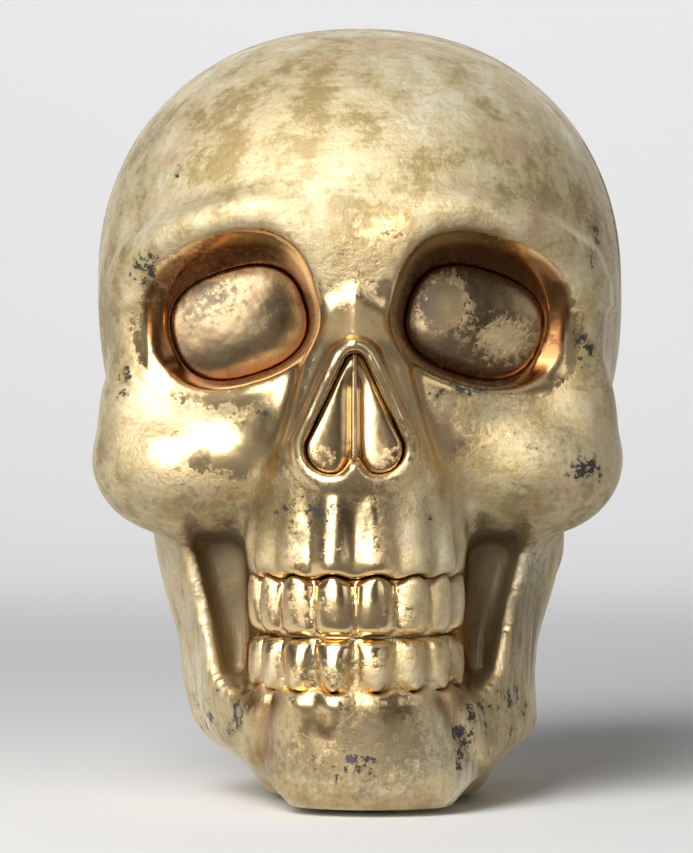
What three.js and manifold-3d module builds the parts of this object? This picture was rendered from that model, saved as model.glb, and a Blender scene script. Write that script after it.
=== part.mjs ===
// A life-size skull ornament with a gold-leaf finish.
// Two hollow mouldings meet on an upright seam behind the temples: the face shell, with the jaw,
// and the cranium shell, whose tongue slides into the face shell. Two domed eye discs, a nose
// insert and two rows of teeth are set into the face, and a screwed plate on felt pads closes the base.
// Millimetres, +Z up. The face looks along -Y, and the origin is under the middle of the skull.
import * as THREE from "three";
import { mergeVertices } from "three/addons/utils/BufferGeometryUtils.js";
import Module from "manifold-3d";

const { abs, hypot, max, min, cos, sin, PI, pow, sign } = Math;

// Fits and walls
const WALL = 4;
const FIT_GAP = 0.3;
const SEAM_Y = -18;
const SEAM_GAP = 0.4;
const TONGUE_LENGTH = 5;
const TONGUE_WALL = 1.8;

// Braincase
const CRANIUM_WIDTH = 153;
const CRANIUM_LENGTH = 170;
const CRANIUM_HEIGHT = 158;
const CRANIUM_Y = 8;
const CRANIUM_Z = 142;
const CRANIUM_FULLNESS = 2.25;
const FOREHEAD_WIDTH = 136;
const FOREHEAD_DEPTH = 57;
const FOREHEAD_HEIGHT = 56;
const FOREHEAD_RISE = 13;
const FOREHEAD_FRONT = -84;
const OCCIPUT_WIDTH = 112;
const OCCIPUT_DEPTH = 48;
const OCCIPUT_HEIGHT = 46;
const OCCIPUT_DROP = 39;
const OCCIPUT_BACK = 88;

// Eye sockets: long and short axes of a rounded outline that droops outwards
const EYE_SPACING = 69.8;
const EYE_Z = 136.1;
const EYE_LONG = 48.5;
const EYE_SHORT = 40.4;
const EYE_DROOP = 0.31;
const EYE_ROUNDNESS = 2.5;
const SOCKET_FLOOR_Y = -56;
const SOCKET_DEPTH = 22;
const SOCKET_MARGIN = 0.4;
const SOCKET_DRAFT = 5.2;
const SOCKET_SHIFT_IN = 2.3;
const SOCKET_SHIFT_DOWN = 2.3;
const BROW_RADIUS = 5.4;
const BROW_Y = -78.5;
const RIM_RADIUS = 3.4;
const RIM_Y = -71.5;
const RIM_OUTSET = 2.6;
const BROW_OUTSET = 5;
const RIM_SWEEP = 0.0105;
const RIM_SWEEP_START = 20;
const EYE_DISC_THICKNESS = 2.4;
const EYE_DISC_DOME = 3.6;

// Nose
const NASION_Z = 145.5;
const NOSE_TOP_Z = 121.5;
const NOSE_TOP_RADIUS = 3.6;
const NOSE_LOBE_Z = 99;
const NOSE_LOBE_X = 6.3;
const NOSE_LOBE_RADIUS = 7.2;
const NOSE_TIP_Y = -97;
const NOSE_FLOOR_Y = -82;
const NOSE_LIP_RADIUS = 2.2;
const CREST_TOP_WIDTH = 18;
const CREST_FOOT_WIDTH = 43;
const NOSE_MARGIN = 0.4;
const NOSE_PLATE = 2;
const NOSE_SWELLING = 5.5;
const SEPTUM_THICKNESS = 1.6;
const SEPTUM_DEPTH = 7;

// Cheekbones
const CHEEK_WIDTH = 147;
const CHEEK_Z = 94.5;
const CHEEK_HEIGHT = 41;
const CHEEK_FRONT = -74;

// Tooth arches: half an ellipse in plan, round a point on the middle line
const ARCH_WIDTH = 61;
const ARCH_DEPTH = 36.5;
const ARCH_Y = -56;
const BITE_Z = 48.3;
const BITE_GAP = 0.6;
const UPPER_TOOTH_HEIGHT = 15.4;
const LOWER_TOOTH_HEIGHT = 14.8;
const TOOTH_DEPTH = 5;
const TOOTH_STRIP = 2;
const UPPER_TOOTH_WIDTHS = [12.4, 12.2, 10.6, 10.4];
const LOWER_TOOTH_WIDTHS = [12.2, 11.6, 10.8, 10.4];
const MOUTH_OUTSET = 3.5;

// Tooth roots, which show as flutes in the upper jaw and the chin
const UPPER_ROOT = { inset: 4.2, radius: 6.2, tipRadius: 4.2, start: 3, length: 21, taper: 0.9 };
const LOWER_ROOT = { inset: 4.8, radius: 5, tipRadius: 3, start: 4, length: 9, taper: 0.94 };

// Lower jaw
const JAW_WIDTH = 97;
const JAW_FRONT = -88;
const JAW_MID_Y = -20;
const JAW_BACK = -10;
const JAW_BOW = 2.2;
const JAW_RISE = 9;
const CHIN_WIDTH = 38;
const CHIN_LEAN = 4;
const CHIN_RISE = 6;
const RAMUS_THICKNESS = 10;
const RAMUS_INSET = 3;
const RAMUS_FRONT = -38;
const RAMUS_FLARE = 0.09;
const RAMUS_CURL = 0.004;
const RAMUS_LEAN = 0.15;
const JAW_ANGLE_Z = 19;
const JAW_WALL_INSET = 19.5;
const JAW_WALL_RISE = 0.06;
const JAW_WALL_FILLET = 8;
const POCKET_BACK = -48;
const POCKET_RADIUS = 5.5;
const POCKET_FOOT_RADIUS = 3;

// Neck, base plate, pads and screws
const NECK_WIDTH = 78;
const NECK_FOOT_WIDTH = 56;
const NECK_FRONT = -52;
const NECK_BACK = 44;
const NECK_HEIGHT = 124;
const NECK_ROUNDING = 20;
const THROAT_FOOT = 16;
const THROAT_TOP = 120;
const JAW_HOLLOW_DEPTH = 44;
const JAW_HOLLOW_FOOT = 12;
const PAD_THICKNESS = 1.5;
const PAD_RADIUS = 5.5;
const BASE_THICKNESS = 4;
const BASE_LEDGE = 6;
const BASE_FRONT_Y = -76;
const BASE_BACK_Y = 36;
const BASE_FRONT_WIDTH = 26;
const BASE_BACK_WIDTH = 46;
const BASE_CORNER = 8;
const SCREW_RADIUS = 1.6;
const SCREW_LENGTH = 14;
const SCREW_HEAD_RADIUS = 3;
const SCREW_HEAD_HEIGHT = 2;
const BOSS_RADIUS = 5;
const BOSS_HEIGHT = 16;

// Places that follow from the driving sizes
const eyeX = EYE_SPACING / 2;
const gumTopZ = BITE_Z + BITE_GAP / 2 + UPPER_TOOTH_HEIGHT;
const gumLowZ = BITE_Z - BITE_GAP / 2 - LOWER_TOOTH_HEIGHT;
const cheekX = CHEEK_WIDTH / 2;
const underside = PAD_THICKNESS + FIT_GAP;
const jawTopZ = CHEEK_Z - 10;

// Bones that swell out of one side of the skull, each with its middle and half sizes
const TEMPLE = { at: [CRANIUM_WIDTH / 2 - 18.5, -34, EYE_Z - 3.5], half: [14, 24, 34] };
const MIDFACE = { at: [0, -48, CHEEK_Z + 14.5], half: [52, 34, 42] };
const GLABELLA = { at: [0, -72, NASION_Z + 8.5], half: [18, 11, 10] };
const CHEEK_PAD = { at: [cheekX - 26.5, CHEEK_FRONT + 24, CHEEK_Z], half: [26.5, 24, CHEEK_HEIGHT / 2] };
const CHEEK_SHOULDER = { at: [cheekX - 15, -44, CHEEK_Z + 12], half: [12.5, 20, 16] };
const CHEEK_ROOT = { at: [cheekX - 4, 0, CHEEK_Z + 4], half: [6.5, 12, 10] };
const CHIN = { at: [0, JAW_FRONT + 11, 11], half: [23, 13.5, 15] };
const JAW_ROOT = { at: [34, -26, CHEEK_Z - 22], half: [22, 22, 30] };
const MASTOID = { at: [50, 8, CHEEK_Z - 22], half: [10, 13, 17] };

// Bars of bone, each from one end to the other, with the radius as an end's fourth value
const ORBIT_SIDE = [[eyeX + 24, -54, EYE_Z + 13, 4.5], [eyeX + 26, -50, EYE_Z - 22, 7.5]];
const CHEEK_ARCH = [[cheekX - 10, -44, CHEEK_Z + 1, 9], [cheekX - 7, -12, CHEEK_Z + 3, 7.5]];

// Fillets where bones run into one another
const CASE_FILLET = 15;
const BONE_FILLET = 8;
const JAW_FILLET = 5;
const RIM_FILLET = 4.5;
const ROOT_FILLET = 1.5;

// Materials
const goldLeaf = new THREE.MeshStandardMaterial({ color: 0xcdb678, roughness: 0.32, metalness: 1 });
const polishedLeaf = new THREE.MeshStandardMaterial({ color: 0xd2a860, roughness: 0.18, metalness: 1 });
const blackPlastic = new THREE.MeshStandardMaterial({ color: 0x24211f, roughness: 0.6, metalness: 0 });
const zincSteel = new THREE.MeshStandardMaterial({ color: 0xb8b8b4, roughness: 0.35, metalness: 1 });
const greyFelt = new THREE.MeshStandardMaterial({ color: 0x3a3836, roughness: 0.95, metalness: 0 });

// Small helpers for blended distances
const clamp = (v, low, high) => min(high, max(low, v));
const mix = (a, b, t) => a + (b - a) * t;
const share = (a, b, v) => clamp((v - a) / (b - a), 0, 1);
const ease = (a, b, v) => THREE.MathUtils.smoothstep(v, a, b);
const join = (a, b, fillet) => min(a, b) - pow(max(fillet - abs(a - b), 0), 2) / (4 * fillet);
const meet = (a, b, fillet) => -join(-a, -b, fillet);

// Distance to an ellipsoid with its centre c and radii r; a fullness over 2 swells it towards a box
function ball(x, y, z, c, r, fullness = 2) {
  const u = abs(x - c[0]) / r[0];
  const v = abs(y - c[1]) / r[1];
  const w = abs(z - c[2]) / r[2];
  const k = pow(pow(u, fullness) + pow(v, fullness) + pow(w, fullness), 1 / fullness);
  const n = fullness - 1;
  return ((k - 1) * pow(k, n)) / max(hypot(pow(u, n) / r[0], pow(v, n) / r[1], pow(w, n) / r[2]), 1e-6);
}

// Distance to a bar whose ends a and b are points with a radius as their fourth value
function bar(x, y, z, a, b) {
  const d = [b[0] - a[0], b[1] - a[1], b[2] - a[2]];
  const p = [x - a[0], y - a[1], z - a[2]];
  const along = p[0] * d[0] + p[1] * d[1] + p[2] * d[2];
  const t = clamp(along / (d[0] * d[0] + d[1] * d[1] + d[2] * d[2]), 0, 1);
  return hypot(p[0] - t * d[0], p[1] - t * d[1], p[2] - t * d[2]) - mix(a[3], b[3], t);
}

// Distance to a box with half sizes h and rounded edges
function block(x, y, z, c, h, round) {
  const q = [abs(x - c[0]) - h[0] + round, abs(y - c[1]) - h[1] + round, abs(z - c[2]) - h[2] + round];
  return hypot(max(q[0], 0), max(q[1], 0), max(q[2], 0)) + min(max(q[0], q[1], q[2]), 0) - round;
}

// Front-view distance to an eye opening, grown outwards by grow
function eyeOutline(x, z, grow) {
  const u = x - eyeX;
  const v = z - EYE_Z;
  const p = abs(u * cos(EYE_DROOP) - v * sin(EYE_DROOP)) / (EYE_LONG / 2 + grow);
  const q = abs(u * sin(EYE_DROOP) + v * cos(EYE_DROOP)) / (EYE_SHORT / 2 + grow);
  return (pow(pow(p, EYE_ROUNDNESS) + pow(q, EYE_ROUNDNESS), 1 / EYE_ROUNDNESS) - 1) * (EYE_SHORT / 2 + grow);
}

// Plan-view distance to a tooth arch of the given half width and depth, straight behind ARCH_Y
function arch(x, y, halfWidth, depth) {
  return (hypot(x / halfWidth, max(0, ARCH_Y - y) / depth) - 1) * halfWidth;
}

// The arch's surface point at an angle from the front
function archPoint(angle, halfWidth, depth) {
  return [halfWidth * sin(angle), ARCH_Y - depth * cos(angle)];
}

// Middle angles of one side's teeth, laid out along the arch from the middle line
function toothAngles(widths) {
  const angles = [];
  const step = 0.002;
  let reach = 0;
  let angle = 0;
  let edge = 0;
  for (const width of widths) {
    while (reach < edge + width / 2) {
      reach += step * hypot((ARCH_WIDTH / 2) * cos(angle), ARCH_DEPTH * sin(angle));
      angle += step;
    }
    angles.push(angle);
    edge += width;
  }
  return angles;
}
const upperAngles = toothAngles(UPPER_TOOTH_WIDTHS);
const lowerAngles = toothAngles(LOWER_TOOTH_WIDTHS);

// The braincase, which the hollow inside follows one wall further in
function braincase(x, y, z, inset) {
  const cranium = [CRANIUM_WIDTH / 2 - inset, CRANIUM_LENGTH / 2 - inset, CRANIUM_HEIGHT / 2 - inset];
  const forehead = [FOREHEAD_WIDTH / 2 - inset, FOREHEAD_DEPTH - inset, FOREHEAD_HEIGHT - inset];
  const foreheadAt = [0, FOREHEAD_FRONT + FOREHEAD_DEPTH, CRANIUM_Z + FOREHEAD_RISE];
  const occiput = [OCCIPUT_WIDTH / 2 - inset, OCCIPUT_DEPTH - inset, OCCIPUT_HEIGHT - inset];
  const occiputAt = [0, OCCIPUT_BACK - OCCIPUT_DEPTH, CRANIUM_Z - OCCIPUT_DROP];
  let d = ball(x, y, z, [0, CRANIUM_Y, CRANIUM_Z], cranium, CRANIUM_FULLNESS);
  d = join(d, ball(x, y, z, foreheadAt, forehead), CASE_FILLET);
  return join(d, ball(x, y, z, occiputAt, occiput), CASE_FILLET);
}

// Distance d joined by a bone
function swell(d, x, y, z, bone, fillet = BONE_FILLET) {
  return join(d, ball(x, y, z, bone.at, bone.half), fillet);
}

// Distance to the rolled rim of an eye opening, thicker and further forward at the brow
function orbitRim(x, y, z) {
  const rise = ease(EYE_Z - EYE_SHORT / 2, EYE_Z + EYE_LONG / 2, z);
  const aside = max(0, x - RIM_SWEEP_START);
  const rimY = mix(RIM_Y, BROW_Y, rise) + RIM_SWEEP * aside * aside;
  const outset = mix(RIM_OUTSET, BROW_OUTSET, rise);
  return hypot(eyeOutline(x, z, 0) - outset, y - rimY) - mix(RIM_RADIUS, BROW_RADIUS, rise);
}

// Distance d joined by the roots of one side's teeth, which run away from the gum
function fluted(d, x, y, z, root, angles, gumZ, away) {
  for (const angle of angles) {
    const [rx, ry] = archPoint(angle, ARCH_WIDTH / 2 - root.inset, ARCH_DEPTH - root.inset);
    const start = gumZ + away * root.start;
    const tip = [rx * root.taper, ry + 1, start + away * root.length, root.tipRadius];
    d = join(d, bar(x, y, z, [rx, ry, start, root.radius], tip), ROOT_FILLET);
  }
  return d;
}

// Upper face: temples, brows and orbit rims, cheekbones and the fluted upper jaw
function upperFace(x, y, z, d) {
  d = swell(d, x, y, z, TEMPLE);
  d = swell(d, x, y, z, MIDFACE);
  d = join(d, orbitRim(x, y, z), RIM_FILLET);
  d = swell(d, x, y, z, GLABELLA);
  d = join(d, bar(x, y, z, ...ORBIT_SIDE), BONE_FILLET);
  d = swell(d, x, y, z, CHEEK_PAD);
  d = swell(d, x, y, z, CHEEK_SHOULDER);
  d = join(d, bar(x, y, z, ...CHEEK_ARCH), JAW_FILLET);
  d = swell(d, x, y, z, CHEEK_ROOT, JAW_FILLET);
  const upperJawTop = CHEEK_Z + CHEEK_HEIGHT * 0.4;
  const jaw = meet(arch(x, y, ARCH_WIDTH / 2, ARCH_DEPTH), z - upperJawTop, CHEEK_HEIGHT / 2);
  d = join(d, max(meet(jaw, gumTopZ - z, 2.5), y - SEAM_Y), JAW_FILLET);
  return fluted(d, x, y, z, UPPER_ROOT, upperAngles, gumTopZ, 1);
}

// Lower jaw: a filled horseshoe with a flat chin, a wall that rises beside the teeth, rami and the gum
function lowerJaw(x, y, z, d) {
  const reach = JAW_MID_Y - JAW_FRONT;
  const halfJaw = JAW_WIDTH / 2;
  const flare = RAMUS_FLARE * (z - JAW_ANGLE_Z) + RAMUS_CURL * pow(max(0, z - BITE_Z + 3), 2);
  const side = max(0, x - max(0, flare));
  const bow = pow(side / halfJaw, JAW_BOW) + pow(max(0, JAW_MID_Y - y) / reach, JAW_BOW);
  const plan = (pow(bow, 1 / JAW_BOW) - 1) * halfJaw;
  const chinEdge = CHIN_WIDTH / 2;
  const border = CHIN_RISE * ease(chinEdge, chinEdge + 9, x) + JAW_RISE * share(chinEdge + 7, halfJaw - 3, x);
  const beside = max(0, side - halfJaw + JAW_WALL_INSET);
  const wallSlope = 3 * JAW_WALL_RISE * beside * beside;
  const wallTop = (z - gumLowZ + 1 - JAW_WALL_RISE * pow(beside, 3)) / hypot(1, wallSlope);
  let body = meet(meet(plan, wallTop, JAW_WALL_FILLET), z - jawTopZ, JAW_FILLET);
  body = max(meet(body, underside + border - z, BONE_FILLET), y - JAW_BACK);
  d = join(d, body, JAW_FILLET);
  d = swell(d, x, y, z, CHIN);
  const gum = meet(arch(x, y, ARCH_WIDTH / 2 - 1, ARCH_DEPTH - 2.5), z - gumLowZ, 2.5);
  d = join(d, max(meet(gum, BONE_FILLET - z, JAW_FILLET), y - NECK_FRONT / 2), JAW_FILLET);
  d = fluted(d, x, y, z, LOWER_ROOT, lowerAngles, gumLowZ, -1);
  const ramusX = halfJaw - RAMUS_THICKNESS / 2 - RAMUS_INSET;
  const middle = [ramusX, (RAMUS_FRONT + JAW_BACK) / 2, (jawTopZ + JAW_ANGLE_Z) / 2];
  const half = [RAMUS_THICKNESS / 2, (JAW_BACK - RAMUS_FRONT) / 2, (jawTopZ - JAW_ANGLE_Z) / 2];
  const lean = RAMUS_LEAN * max(0, jawTopZ - z);
  return join(d, block(x - flare, y + lean, z, middle, half, RAMUS_THICKNESS / 2), JAW_FILLET);
}

// Skull base: the neck under the braincase, the wall behind the teeth and the mastoids
function skullBase(x, y, z, d) {
  const half = [NECK_WIDTH / 2, (NECK_BACK - NECK_FRONT) / 2, NECK_HEIGHT / 2];
  const middle = [0, (NECK_BACK + NECK_FRONT) / 2, NECK_HEIGHT / 2 - NECK_ROUNDING];
  const taper = mix(NECK_FOOT_WIDTH, NECK_WIDTH, ease(underside, underside + 28, z)) / NECK_WIDTH;
  d = join(d, block(x / taper, y, z, middle, half, NECK_ROUNDING) * taper, CASE_FILLET);
  d = swell(d, x, y, z, JAW_ROOT);
  d = swell(d, x, y, z, MASTOID);
  const inner = arch(x, y, ARCH_WIDTH / 2 - TOOTH_DEPTH, ARCH_DEPTH - TOOTH_DEPTH);
  return min(d, max(inner, z - gumTopZ - WALL, gumLowZ - WALL - z, y - NECK_FRONT / 2));
}

// The whole outside of the skull before its recesses are cut, as a distance
function skullForm(x, y, z) {
  const side = abs(x - CHIN_LEAN * (1 - ease(6, gumLowZ + 4, z)));
  let d = braincase(side, y, z, 0);
  d = upperFace(side, y, z, d);
  d = lowerJaw(side, y, z, d);
  d = skullBase(side, y, z, d);
  const pocketTop = [ARCH_WIDTH / 2 + POCKET_RADIUS, 0, gumTopZ + 2, POCKET_RADIUS];
  const pocketFoot = [ARCH_WIDTH / 2 + POCKET_FOOT_RADIUS, 0, gumLowZ + 6, POCKET_FOOT_RADIUS];
  d = meet(d, -meet(bar(side, 0, z, pocketTop, pocketFoot), y - POCKET_BACK, WALL), WALL);
  return meet(d, underside - z, 1.5);
}

// The hollow inside: the braincase one wall in, kept behind the sockets, and a space inside the jaw
function hollowForm(x, y, z) {
  const side = abs(x);
  const behindFace = SOCKET_FLOOR_Y + WALL - y - 0.8 * max(0, z - EYE_Z - 22);
  const upper = meet(braincase(side, y, z, WALL), behindFace, 8);
  const jawHalfWidth = ARCH_WIDTH / 2 - TOOTH_DEPTH - WALL - 2;
  const jawHalf = [jawHalfWidth, JAW_HOLLOW_DEPTH / 2, (gumTopZ - JAW_HOLLOW_FOOT) / 2];
  const lower = block(side, y, z, [0, ARCH_Y + WALL, (gumTopZ + JAW_HOLLOW_FOOT) / 2], jawHalf, BONE_FILLET);
  const throatFront = NECK_FRONT + 3 * WALL;
  const throatDepth = NECK_BACK - throatFront - 3 * WALL;
  const throatHalf = [NECK_WIDTH / 2 - 2 * WALL, throatDepth / 2, (THROAT_TOP - THROAT_FOOT) / 2];
  const throatAt = [0, (NECK_BACK + throatFront) / 2, (THROAT_TOP + THROAT_FOOT) / 2];
  const throat = block(side, y, z, throatAt, throatHalf, CASE_FILLET);
  return join(join(upper, throat, BONE_FILLET), lower, JAW_FILLET);
}

// Grid stations from spans of [from, to, step]
function stations(...spans) {
  const list = [spans[0][0]];
  for (const [from, to, step] of spans) {
    const count = max(1, Math.round((to - from) / step));
    for (let i = 1; i <= count; i++) list.push(mix(from, to, i / count));
  }
  return list;
}

// A grid cell's corners are numbered by their bits, x first, and an edge runs from a corner along an axis
const AXES = [0, 1, 2];
const CORNERS = [...Array(8).keys()].map((c) => AXES.map((m) => (c >> m) & 1));
const edgesAlong = (m) => CORNERS.flatMap((at, c) => (at[m] ? [] : [{ axis: m, ends: [c, c | (1 << m)] }]));
const EDGES = AXES.flatMap(edgesAlong);
const onFace = (edge, m, side) => edge.axis !== m && edge.ends.every((c) => CORNERS[c][m] === side);
const FACES = AXES.flatMap((m) => [0, 1].map((side) => EDGES.filter((edge) => onFace(edge, m, side))));

// A cell's crossed edges in groups, one for each sheet of surface that passes through the cell
function sheets(inside) {
  const crossed = (edge) => inside[edge.ends[0]] !== inside[edge.ends[1]];
  const groups = new Map(EDGES.filter(crossed).map((edge) => [edge, [edge]]));
  const unite = ([a, b]) => {
    if (groups.get(a) === groups.get(b)) return;
    const both = [...groups.get(a), ...groups.get(b)];
    for (const edge of both) groups.set(edge, both);
  };
  for (const face of FACES) {
    const cut = face.filter(crossed);
    if (cut.length === 2) unite(cut);
    if (cut.length < 4) continue;
    const solidCorners = CORNERS.keys().filter((c) => inside[c] && cut.some((edge) => edge.ends.includes(c)));
    for (const c of solidCorners) unite(cut.filter((edge) => edge.ends.includes(c)));
  }
  return new Set(groups.values());
}

// Closed surface of a distance field on a grid: a point for each sheet in a cell,
// and a quad round each crossed edge
function contour(field, ...axes) {
  const size = axes.map((axis) => axis.length);
  const at = (n) => (n[0] * size[1] + n[1]) * size[2] + n[2];
  const value = new Float64Array(size[0] * size[1] * size[2]);
  const cells = [];
  for (let i = 0; i < size[0]; i++) {
    for (let j = 0; j < size[1]; j++) {
      for (let k = 0; k < size[2]; k++) {
        cells.push([i, j, k]);
        value[at([i, j, k])] = field(axes[0][i], axes[1][j], axes[2][k]);
      }
    }
  }
  const shifted = (n, by) => n.map((v, m) => v + by[m]);
  const points = [];
  const pointAt = new Map();
  for (const n of cells) {
    if (n.some((v, m) => v + 1 >= size[m])) continue;
    const v = CORNERS.map((c) => value[at(shifted(n, c))]);
    const inside = v.map((d) => d < 0);
    if (inside.every((solid) => solid === inside[0])) continue;
    for (const sheet of sheets(inside)) {
      const sum = [0, 0, 0];
      for (const { ends: [a, b] } of sheet) {
        const t = v[a] / (v[a] - v[b]);
        for (const m of AXES) sum[m] += mix(axes[m][n[m] + CORNERS[a][m]], axes[m][n[m] + CORNERS[b][m]], t);
      }
      for (const edge of sheet) pointAt.set(at(n) * EDGES.length + EDGES.indexOf(edge), points.length);
      const spans = AXES.map((m) => [axes[m][n[m]], axes[m][n[m] + 1]]);
      points.push(settle(field, sum.map((total) => total / sheet.length), spans));
    }
  }
  const index = [];
  for (const n of cells) {
    for (const m of AXES) {
      const [u, w] = [(m + 1) % 3, (m + 2) % 3];
      if (n[m] + 1 >= size[m] || !n[u] || !n[w]) continue;
      const inside = value[at(n)] < 0;
      if (inside === value[at(n.map((v, axis) => v + (axis === m)))] < 0) continue;
      const quad = [[1, 1], [0, 1], [0, 0], [1, 0]].map(([p, q]) => {
        const start = (p << u) | (q << w);
        const edge = EDGES.findIndex((e) => e.axis === m && e.ends[0] === start);
        return pointAt.get(at(n.map((v, axis) => v - CORNERS[start][axis])) * EDGES.length + edge);
      });
      if (!inside) quad.reverse();
      const span = (a, b) => hypot(...AXES.map((axis) => points[a][axis] - points[b][axis]));
      const turn = span(quad[0], quad[2]) > span(quad[1], quad[3]) ? 1 : 0;
      const [a, b, c, d] = AXES.concat(3).map((corner) => quad[(corner + turn) % 4]);
      index.push(a, b, c, a, c, d);
    }
  }
  return new THREE.BufferGeometry()
    .setAttribute("position", new THREE.Float32BufferAttribute(points.flat(), 3))
    .setIndex(index);
}

// A point moved down the field's slope onto its surface, inside its own cell
function settle(field, point, cellSpan) {
  const h = 0.2;
  let p = point;
  for (let round = 0; round < 3; round++) {
    const f = field(...p);
    const slope = [0, 1, 2].map((m) => {
      const ahead = [...p];
      ahead[m] += h;
      return (field(...ahead) - f) / h;
    });
    const steep = max(slope[0] ** 2 + slope[1] ** 2 + slope[2] ** 2, 0.05);
    p = p.map((v, m) => clamp(v - (f * slope[m]) / steep, cellSpan[m][0], cellSpan[m][1]));
  }
  return p;
}

// Solids
const wasm = await Module();
wasm.setup();

function solid(geometry) {
  const bare = geometry.clone();
  bare.deleteAttribute("normal");
  bare.deleteAttribute("uv");
  const merged = mergeVertices(bare, 1e-4);
  const vertProperties = new Float32Array(merged.attributes.position.array);
  const triVerts = new Uint32Array(merged.index.array);
  return new wasm.Manifold(new wasm.Mesh({ numProp: 3, vertProperties, triVerts }));
}

// A closed skin over rings of points, with a fan at each end
function loft(rings) {
  const count = rings[0].length;
  const points = rings.flat();
  const index = [];
  for (let r = 0; r + 1 < rings.length; r++) {
    for (let n = 0; n < count; n++) {
      const a = r * count + n;
      const b = r * count + ((n + 1) % count);
      index.push(a, b, b + count, a, b + count, a + count);
    }
  }
  for (const [ring, first] of [[rings[0], 0], [rings.at(-1), (rings.length - 1) * count]]) {
    const middle = points.length;
    points.push([0, 1, 2].map((m) => ring.reduce((sum, p) => sum + p[m], 0) / count));
    for (let n = 0; n < count; n++) {
      const pair = [first + n, first + ((n + 1) % count)];
      index.push(...(first ? pair : pair.reverse()), middle);
    }
  }
  let volume = 0;
  const [a, b, c] = [new THREE.Vector3(), new THREE.Vector3(), new THREE.Vector3()];
  for (let n = 0; n < index.length; n += 3) {
    [a, b, c].forEach((v, m) => v.fromArray(points[index[n + m]]));
    volume += a.dot(b.cross(c));
  }
  if (volume < 0) index.reverse();
  return new THREE.BufferGeometry()
    .setAttribute("position", new THREE.Float32BufferAttribute(points.flat(), 3))
    .setIndex(index);
}

// A flat outline raised along Z from one height to another
function raise(shape, fromZ, toZ, curveSegments = 6) {
  const options = { depth: toZ - fromZ, bevelEnabled: false, curveSegments };
  const geometry = new THREE.ExtrudeGeometry(shape, options);
  return solid(geometry.translate(0, 0, fromZ));
}

// An upright round bar
function post(x, y, fromZ, toZ, radius, sides = 20) {
  const geometry = new THREE.CylinderGeometry(radius, radius, toZ - fromZ, sides).rotateX(PI / 2);
  return solid(geometry.translate(x, y, (fromZ + toZ) / 2));
}

// Everything above a height between two upright planes across the skull
function slab(fromY, toY, fromZ = -CRANIUM_Z) {
  const reach = 2 * (CRANIUM_Z + max(CRANIUM_WIDTH, CHEEK_WIDTH, CRANIUM_HEIGHT));
  const box = new THREE.BoxGeometry(reach, toY - fromY, reach);
  return solid(box.translate(0, (fromY + toY) / 2, fromZ + reach / 2));
}

// Eye openings, sockets and discs: one outline, shrunk and shifted towards the socket floor
function eyeRing(side, y, grow, down) {
  const ring = [];
  const sides = 22;
  for (let n = 0; n < sides; n++) {
    const angle = (2 * PI * n) / sides;
    const p = sign(cos(angle)) * pow(abs(cos(angle)), 2 / EYE_ROUNDNESS) * (EYE_LONG / 2 + grow);
    const q = sign(sin(angle)) * pow(abs(sin(angle)), 2 / EYE_ROUNDNESS) * (EYE_SHORT / 2 + grow);
    const u = p * cos(EYE_DROOP) + q * sin(EYE_DROOP) + eyeX - SOCKET_SHIFT_IN * down;
    const v = q * cos(EYE_DROOP) - p * sin(EYE_DROOP) + EYE_Z - SOCKET_SHIFT_DOWN * down;
    ring.push([side * u, y, v]);
  }
  return ring;
}

function eyeSocket(side) {
  const mouthY = SOCKET_FLOOR_Y - SOCKET_DEPTH;
  const seat = EYE_DISC_THICKNESS + 1;
  return solid(loft([
    eyeRing(side, NOSE_TIP_Y - 10, SOCKET_MARGIN, 0),
    eyeRing(side, mouthY, SOCKET_MARGIN, 0),
    eyeRing(side, SOCKET_FLOOR_Y - seat, -SOCKET_DRAFT, 1),
    eyeRing(side, SOCKET_FLOOR_Y, -SOCKET_DRAFT, 1),
  ]));
}

function eyeDisc(side) {
  const back = SOCKET_FLOOR_Y - FIT_GAP;
  const edge = -SOCKET_DRAFT - FIT_GAP;
  const front = back - EYE_DISC_THICKNESS;
  const rim = EYE_SHORT / 2 + edge;
  const rings = [eyeRing(side, back, edge, 1), eyeRing(side, front, edge, 1)];
  for (const part of [0.1, 0.35, 0.65, 0.92]) {
    const turn = (part * PI) / 2;
    rings.push(eyeRing(side, front - EYE_DISC_DOME * sin(turn), edge - rim * (1 - cos(turn)), 1));
  }
  return solid(loft(rings));
}

// Nose opening: two round lobes and a narrow round top, in front view, grown outwards by grow
function noseRing(y, grow) {
  const lobe = max(NOSE_LOBE_RADIUS + grow, NOSE_LOBE_X * 1.02);
  const top = NOSE_TOP_RADIUS + grow;
  const drop = NOSE_TOP_Z - NOSE_LOBE_Z;
  const tangent = Math.atan2(-drop, NOSE_LOBE_X) + Math.acos((top - lobe) / hypot(drop, NOSE_LOBE_X));
  const notch = -PI + Math.acos(NOSE_LOBE_X / lobe);
  const half = [];
  for (let n = 0; n <= 12; n++) {
    const angle = mix(notch, tangent, n / 12);
    half.push([NOSE_LOBE_X + lobe * cos(angle), NOSE_LOBE_Z + lobe * sin(angle)]);
  }
  for (let n = 0; n < 4; n++) {
    const angle = mix(tangent, PI / 2, n / 4);
    half.push([top * cos(angle), NOSE_TOP_Z + top * sin(angle)]);
  }
  const outline = [...half, [0, NOSE_TOP_Z + top], ...half.slice(1).reverse().map(([x, z]) => [-x, z])];
  return outline.map(([x, z]) => [x, typeof y === "function" ? y(abs(x), z) : y, z]);
}

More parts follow.
